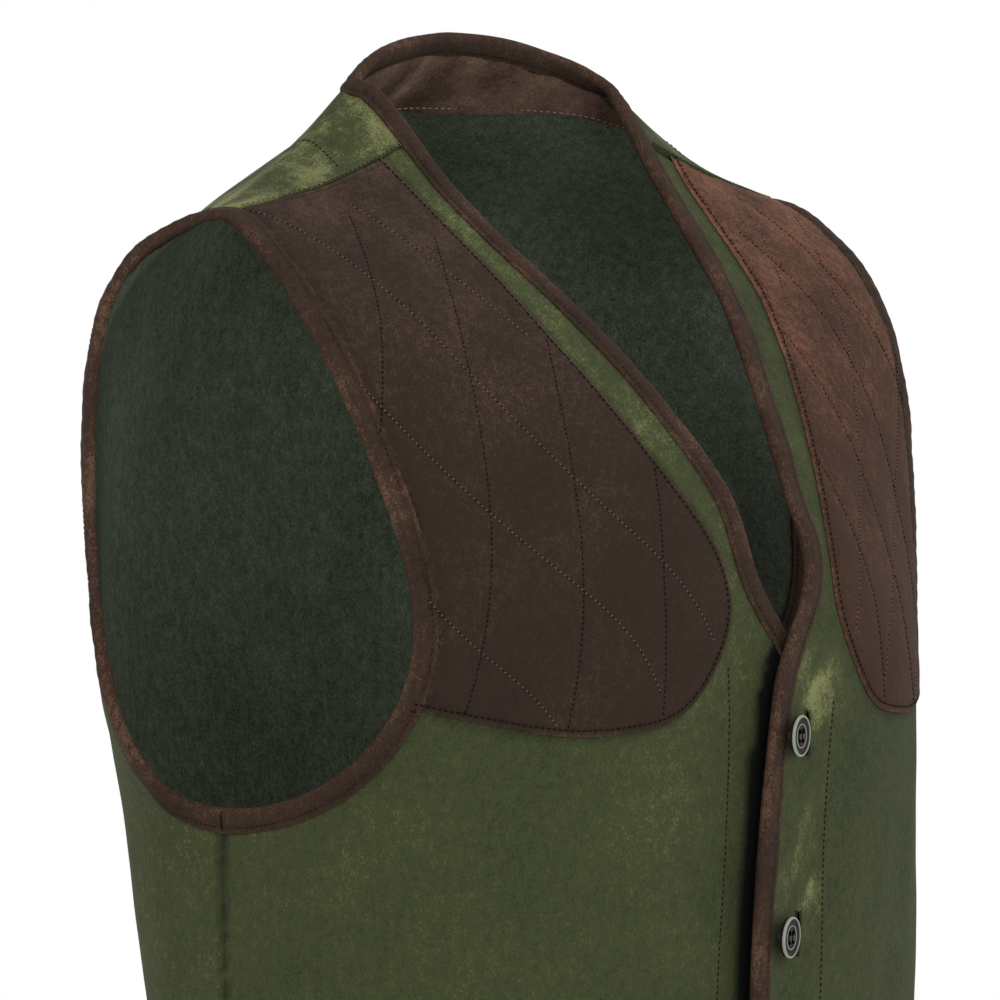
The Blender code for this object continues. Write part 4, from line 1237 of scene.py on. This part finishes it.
def back_shell(half, materials, side_seam, shoulder_seam):
    """The back from its left half and the mirror image, joined down the middle below the neckline.

    Its yoke comes over the shoulder and lies on the fronts with a rounded edge.
    """
    rows, columns = half.shape[:2]
    closed = int((half[:, 0, 0] <= 1e-9).sum())
    flat = half.reshape(-1, 2)
    points = np.concatenate([flat, flat * MIRROR])
    base = on_left(form(*points.T))
    seam_gap = distance_to(base, form(*side_seam.T))
    yoke_gap = distance_to(base, form(*shoulder_seam.T))
    bound = [form(*np.abs(neck_path(EDGE_FINE)[0]).T), form(*arm_path(EDGE_FINE)[0].T)]
    clear = ease(distance_to(base, np.concatenate(bound)), *YOKE_CLEAR)
    lift = -SEAM_ROLL * fade(seam_gap, SEAM_SOFT)
    lift += clear * YOKE_RISE * fade(yoke_gap, YOKE_SOFT)
    lift -= clear * YOKE_ROLL * fade(yoke_gap, YOKE_ROUND)
    lift -= TOPSTITCH_DIP * fade(yoke_gap - YOKE_STITCH, TOPSTITCH_WIDTH)
    outside, _ = placed(points, lift)
    within, _ = placed(points, -WALL)
    total = len(points)
    outer = np.concatenate([grid_faces(rows, columns, 0, True), grid_faces(rows, columns, len(flat))])
    same = np.arange(total)
    middle = np.arange(closed) * columns
    same[len(flat) + middle] = middle
    outer = same[outer]
    faces = [outer, outer[:, ::-1] + total, border_faces(outer, total)]
    # Painted shade inside the back, darker towards its sides and low down, and painted light high on its left
    # inside, with a little mottle
    shade = SIDE_SHADE * ease(np.abs(within[:, 0]), *SHADE_SIDE) * ease(-within[:, 2], *SHADE_DOWN)
    inner_nap = 0.35 * ease(within[:, 0], 0.06, 0.12) * ease(within[:, 2], -0.15, -0.05) - 0.12
    inner_nap += 0.30 * waves(within, 0.15, 46)
    looks = (green_look(outside, points, seam_gap, None), dict(nap=inner_nap, painted_shade=shade))
    return panel("back_cloth", outside, within, faces, materials, looks,
                 slot="green_nubuck", replaces=["back"])


def facing(suede, thread):
    """The neck facing on the inside of the back, from the binding down to its curved lower edge."""
    neck, _ = neck_path(EDGE_FINE)
    top = inset(neck, BINDING_REACH - FACING_TUCK)[len(neck) // 2 :]
    top = top[top[:, 1] > FACING_START]
    edges = []
    for half in (smooth_path(FACING_EDGE, EDGE_FINE), top):
        half = equal_steps(half, 0, FACING_COLUMNS)
        edges.append(np.concatenate([half[::-1] * MIRROR, half[1:]]))
    lower, upper = edges
    part = np.linspace(0, 1, FACING_ROWS)[:, None, None]
    flat = (lower[None] * (1 - part) + upper[None] * part).reshape(-1, 2)
    depth = -WALL - SEAM_GAP
    near, _ = placed(flat, depth)
    far, _ = placed(flat, depth - FACING_WALL + 0.0005 * waves(form(*flat.T), 0.03, 51))
    points = np.concatenate([near, far])
    count = len(flat)
    width = len(lower)
    # The facing's shares run down the back, so its outer side is turned round
    faces = [
        grid_faces(FACING_ROWS, width, 0, True),
        grid_faces(FACING_ROWS, width, count),
        rim_faces(FACING_ROWS, width, count)[:, ::-1],
    ]
    piece = make("neck_facing_cloth", points, np.concatenate(faces), [suede],
                 slot="brown_suede", replaces=["neck_facing"])
    look(piece, nap=0.4 * waves(points, 0.035, 52))
    line = lower + (upper - lower) * FACING_STITCH
    points, normals = placed(line, depth - FACING_WALL - THREAD_RISE)
    stitches("neck_facing_stitches", [(points, -normals)], thread, length=0.0019, gap=0.0012, radius=0.0003,
             slot="brown_suede")


def both(line):
    """A line of the left side with its side's name, and its mirror image with the other's."""
    return ((line, "left"), (line * MIRROR, "right"))


def with_inner(line, side=None):
    """The same row of stitches where it shows on the inside of the vest."""
    points, normals = placed(line, -BINDING_STITCH_DROP, side)
    return points, -normals


def binding_stitches(arm, right_arm, neck, dark):
    """The stitches along the bindings, and those where a seam crosses an armhole's binding."""
    rows = []
    joins = []
    for path, sign in ((arm, 1), (right_arm, -1)):
        line = inset(path, BINDING_STITCH, True)[:-1]
        rows += [placed(line, BINDING_STITCH_RISE), with_inner(line)]
        for across, turn in JOINS:
            nearest = np.linalg.norm(path - (across * sign, turn), axis=1).argmin()
            over = np.array([inset(path, reach, True)[nearest] for reach in np.linspace(*JOIN_REACHES, 6)])
            joins.append(placed(over, BINDING_STITCH_RISE + 0.0003))
    stitches("armhole_stitches", rows, dark, radius=0.0003, slot="brown_binding")
    stitches("armhole_joins", joins, dark, length=0.0085, gap=0.0003, radius=0.00035, slot="brown_binding")
    half = len(neck) // 2
    line = inset(neck, BINDING_STITCH)
    rows = []
    for part, side in ((line[:half], "right"), (line[half:], "left")):
        rows += [placed(part, BINDING_STITCH_RISE, side), with_inner(part, side)]
    stitches("neck_stitches", rows, dark, radius=0.0003, slot="brown_binding")


def patch_stitches(dark, brown):
    """The stitches round the patches and along their quilting, and a dark tube of painted shade along the
    slanted quilting's groove.
    """
    edge = inset(smooth_path(PATCH_EDGE, 0.002), EDGE_STITCH)
    rows = [placed(line, PATCH_LINE_RISE, side) for line, side in both(edge)]
    steep = []
    slanted = []
    for number, path in enumerate(quilt_paths(0.002)):
        for line, side in both(path):
            (steep if number < STEEP_LINES else slanted).append(placed(line, PATCH_LINE_RISE, side))
    sewn = dict(slot="brown_nubuck")
    stitches("patch_edge_stitches", rows, dark, length=0.0018, gap=0.0008, radius=0.00034, **sewn)
    # A dark tube along the slanted quilting: painted shade in its groove
    stitches("quilting_groove_painted_shade", slanted, dark, length=0.0040, gap=-0.0002, radius=0.00022, **sewn)
    stitches("quilting_steep", steep, dark, length=0.0016, gap=0.0007, radius=0.00033, **sewn)
    stitches("quilting_slanted", slanted, brown, length=0.0014, gap=0.0010, radius=0.00027, **sewn)


def panel_stitches(dark):
    """The stitches down the fronts, beside the yoke's edge and across the yoke."""
    rows = []
    for side, sign, reach, top in (("left", 1, PLACKET_LEFT, 0.505), ("right", -1, PLACKET_RIGHT, 0.53)):
        turn = np.linspace(0.004, top, 300)
        line = at_reach(sign * spline(reach["turn"], reach["reach"])(turn), turn)
        rows.append(placed(line, 0.00005, side))
    over = inset(seam_path()[1:-1], YOKE_STITCH - YOKE_LAP)
    yoke = straight(*YOKE_LINE)
    gap = distance_to(form(*yoke.T), form(*inset(seam_path(), -YOKE_LAP).T))
    rise = YOKE_RISE * fade(gap, YOKE_SOFT)
    for line, height in ((over, YOKE_RISE * 0.85 - TOPSTITCH_DIP), (yoke, rise)):
        rows += [placed(line, height), placed(line * MIRROR, height)]
    stitches("panel_stitches", rows, dark, length=0.0018, gap=0.0009, radius=0.00034, slot="green_nubuck")


def buttonhole(number, turn, thread, dark):
    """A near-black slot of painted shade where the buttonhole opens, with a worked edge, beside the button.
    """
    frame = placket_frame(turn, SLOT_REACH)
    half = SLOT_LONG / 2
    outline = []
    for k in range(SLOT_SIDES):
        angle = 2 * math.pi * k / SLOT_SIDES
        x = SLOT_WIDE * 0.75 * math.cos(angle) * (1 - 0.3 * abs(math.sin(angle)))
        outline.append((x, half * math.sin(angle)))
    vertices = [frame @ Vector((x, y, height)) for height in (SLOT_RISE, -SLOT_RISE) for x, y in outline]
    faces = [tuple(range(SLOT_SIDES)), tuple(range(2 * SLOT_SIDES - 1, SLOT_SIDES - 1, -1))]
    for k in range(SLOT_SIDES):
        after = (k + 1) % SLOT_SIDES
        faces.append((k, SLOT_SIDES + k, SLOT_SIDES + after, after))
    make(f"buttonhole_{number}", vertices, faces, [dark], slot="green_nubuck")
    rows = []
    normal = np.array(tuple(frame.to_3x3() @ Vector((0, 0, 1))))
    for side in (-1, 1):
        for y in np.linspace(-half, half, SLOT_STITCHES):
            a = frame @ Vector((side * WORKED_EDGE[0], y, SLOT_RISE))
            b = frame @ Vector((side * WORKED_EDGE[1], y + 0.0002, SLOT_RISE - 0.0001))
            rows.append((np.array([tuple(a), tuple(b)]), np.array([normal, normal])))
    stitches(f"buttonhole_thread_{number}", rows, thread, length=0.0013, gap=0.00002, radius=0.00028,
             slot="green_nubuck")


def light(name, place, aim, size, power):
    """A round softbox turned to what it lights."""
    data = bpy.data.lights.new(name, "AREA")
    data.shape = "DISK"
    data.size = size
    data.energy = power
    lamp = linked(name, data)
    lamp.location = place
    lamp.rotation_mode = "QUATERNION"
    lamp.rotation_quaternion = (Vector(place) - Vector(aim)).to_track_quat("Z", "Y")


def camera():
    """The photograph's camera."""
    flat = math.cos(CAMERA_RISE)
    back = Vector((math.sin(CAMERA_SWING) * flat, -math.cos(CAMERA_SWING) * flat, math.sin(CAMERA_RISE)))
    eye = linked("camera", bpy.data.cameras.new("camera"))
    eye.data.lens = CAMERA_LENS
    eye.data.sensor_width = CAMERA_SENSOR
    eye.data.clip_end = CAMERA_END
    eye.location = Vector(CAMERA_AIM) + back * CAMERA_DISTANCE
    eye.rotation_mode = "QUATERNION"
    eye.rotation_quaternion = back.to_track_quat("Z", "Y")
    bpy.context.scene.camera = eye


def floor():
    """A pale round floor under the vest."""
    mesh = bpy.data.meshes.new("floor")
    angles = np.linspace(0, 2 * math.pi, FLOOR_SIDES + 1)[:-1]
    ring = [(FLOOR_RADIUS * math.cos(a), FLOOR_RADIUS * math.sin(a), FLOOR_HEIGHT) for a in angles]
    mesh.from_pydata(ring, [], [tuple(range(FLOOR_SIDES))])
    mesh.materials.append(plain("floor", "e8e8e6", 0.8))
    ground = linked("floor", mesh)


def daylight():
    """White light from all round, with two softboxes in front."""
    world = bpy.data.worlds.new("studio")
    world.use_nodes = True
    background = world.node_tree.nodes["Background"].inputs
    background["Color"].default_value = (1, 1, 1, 1)
    background["Strength"].default_value = 1.0
    bpy.context.scene.world = world
    bpy.context.scene.view_settings.view_transform = "Standard"
    light("key", (-1.6, -2.6, 0.8), (0, 0, -0.2), 1.4, 14)
    light("fill", (1.8, -2.2, 0.9), (0, 0, -0.2), 1.4, 8)


main()
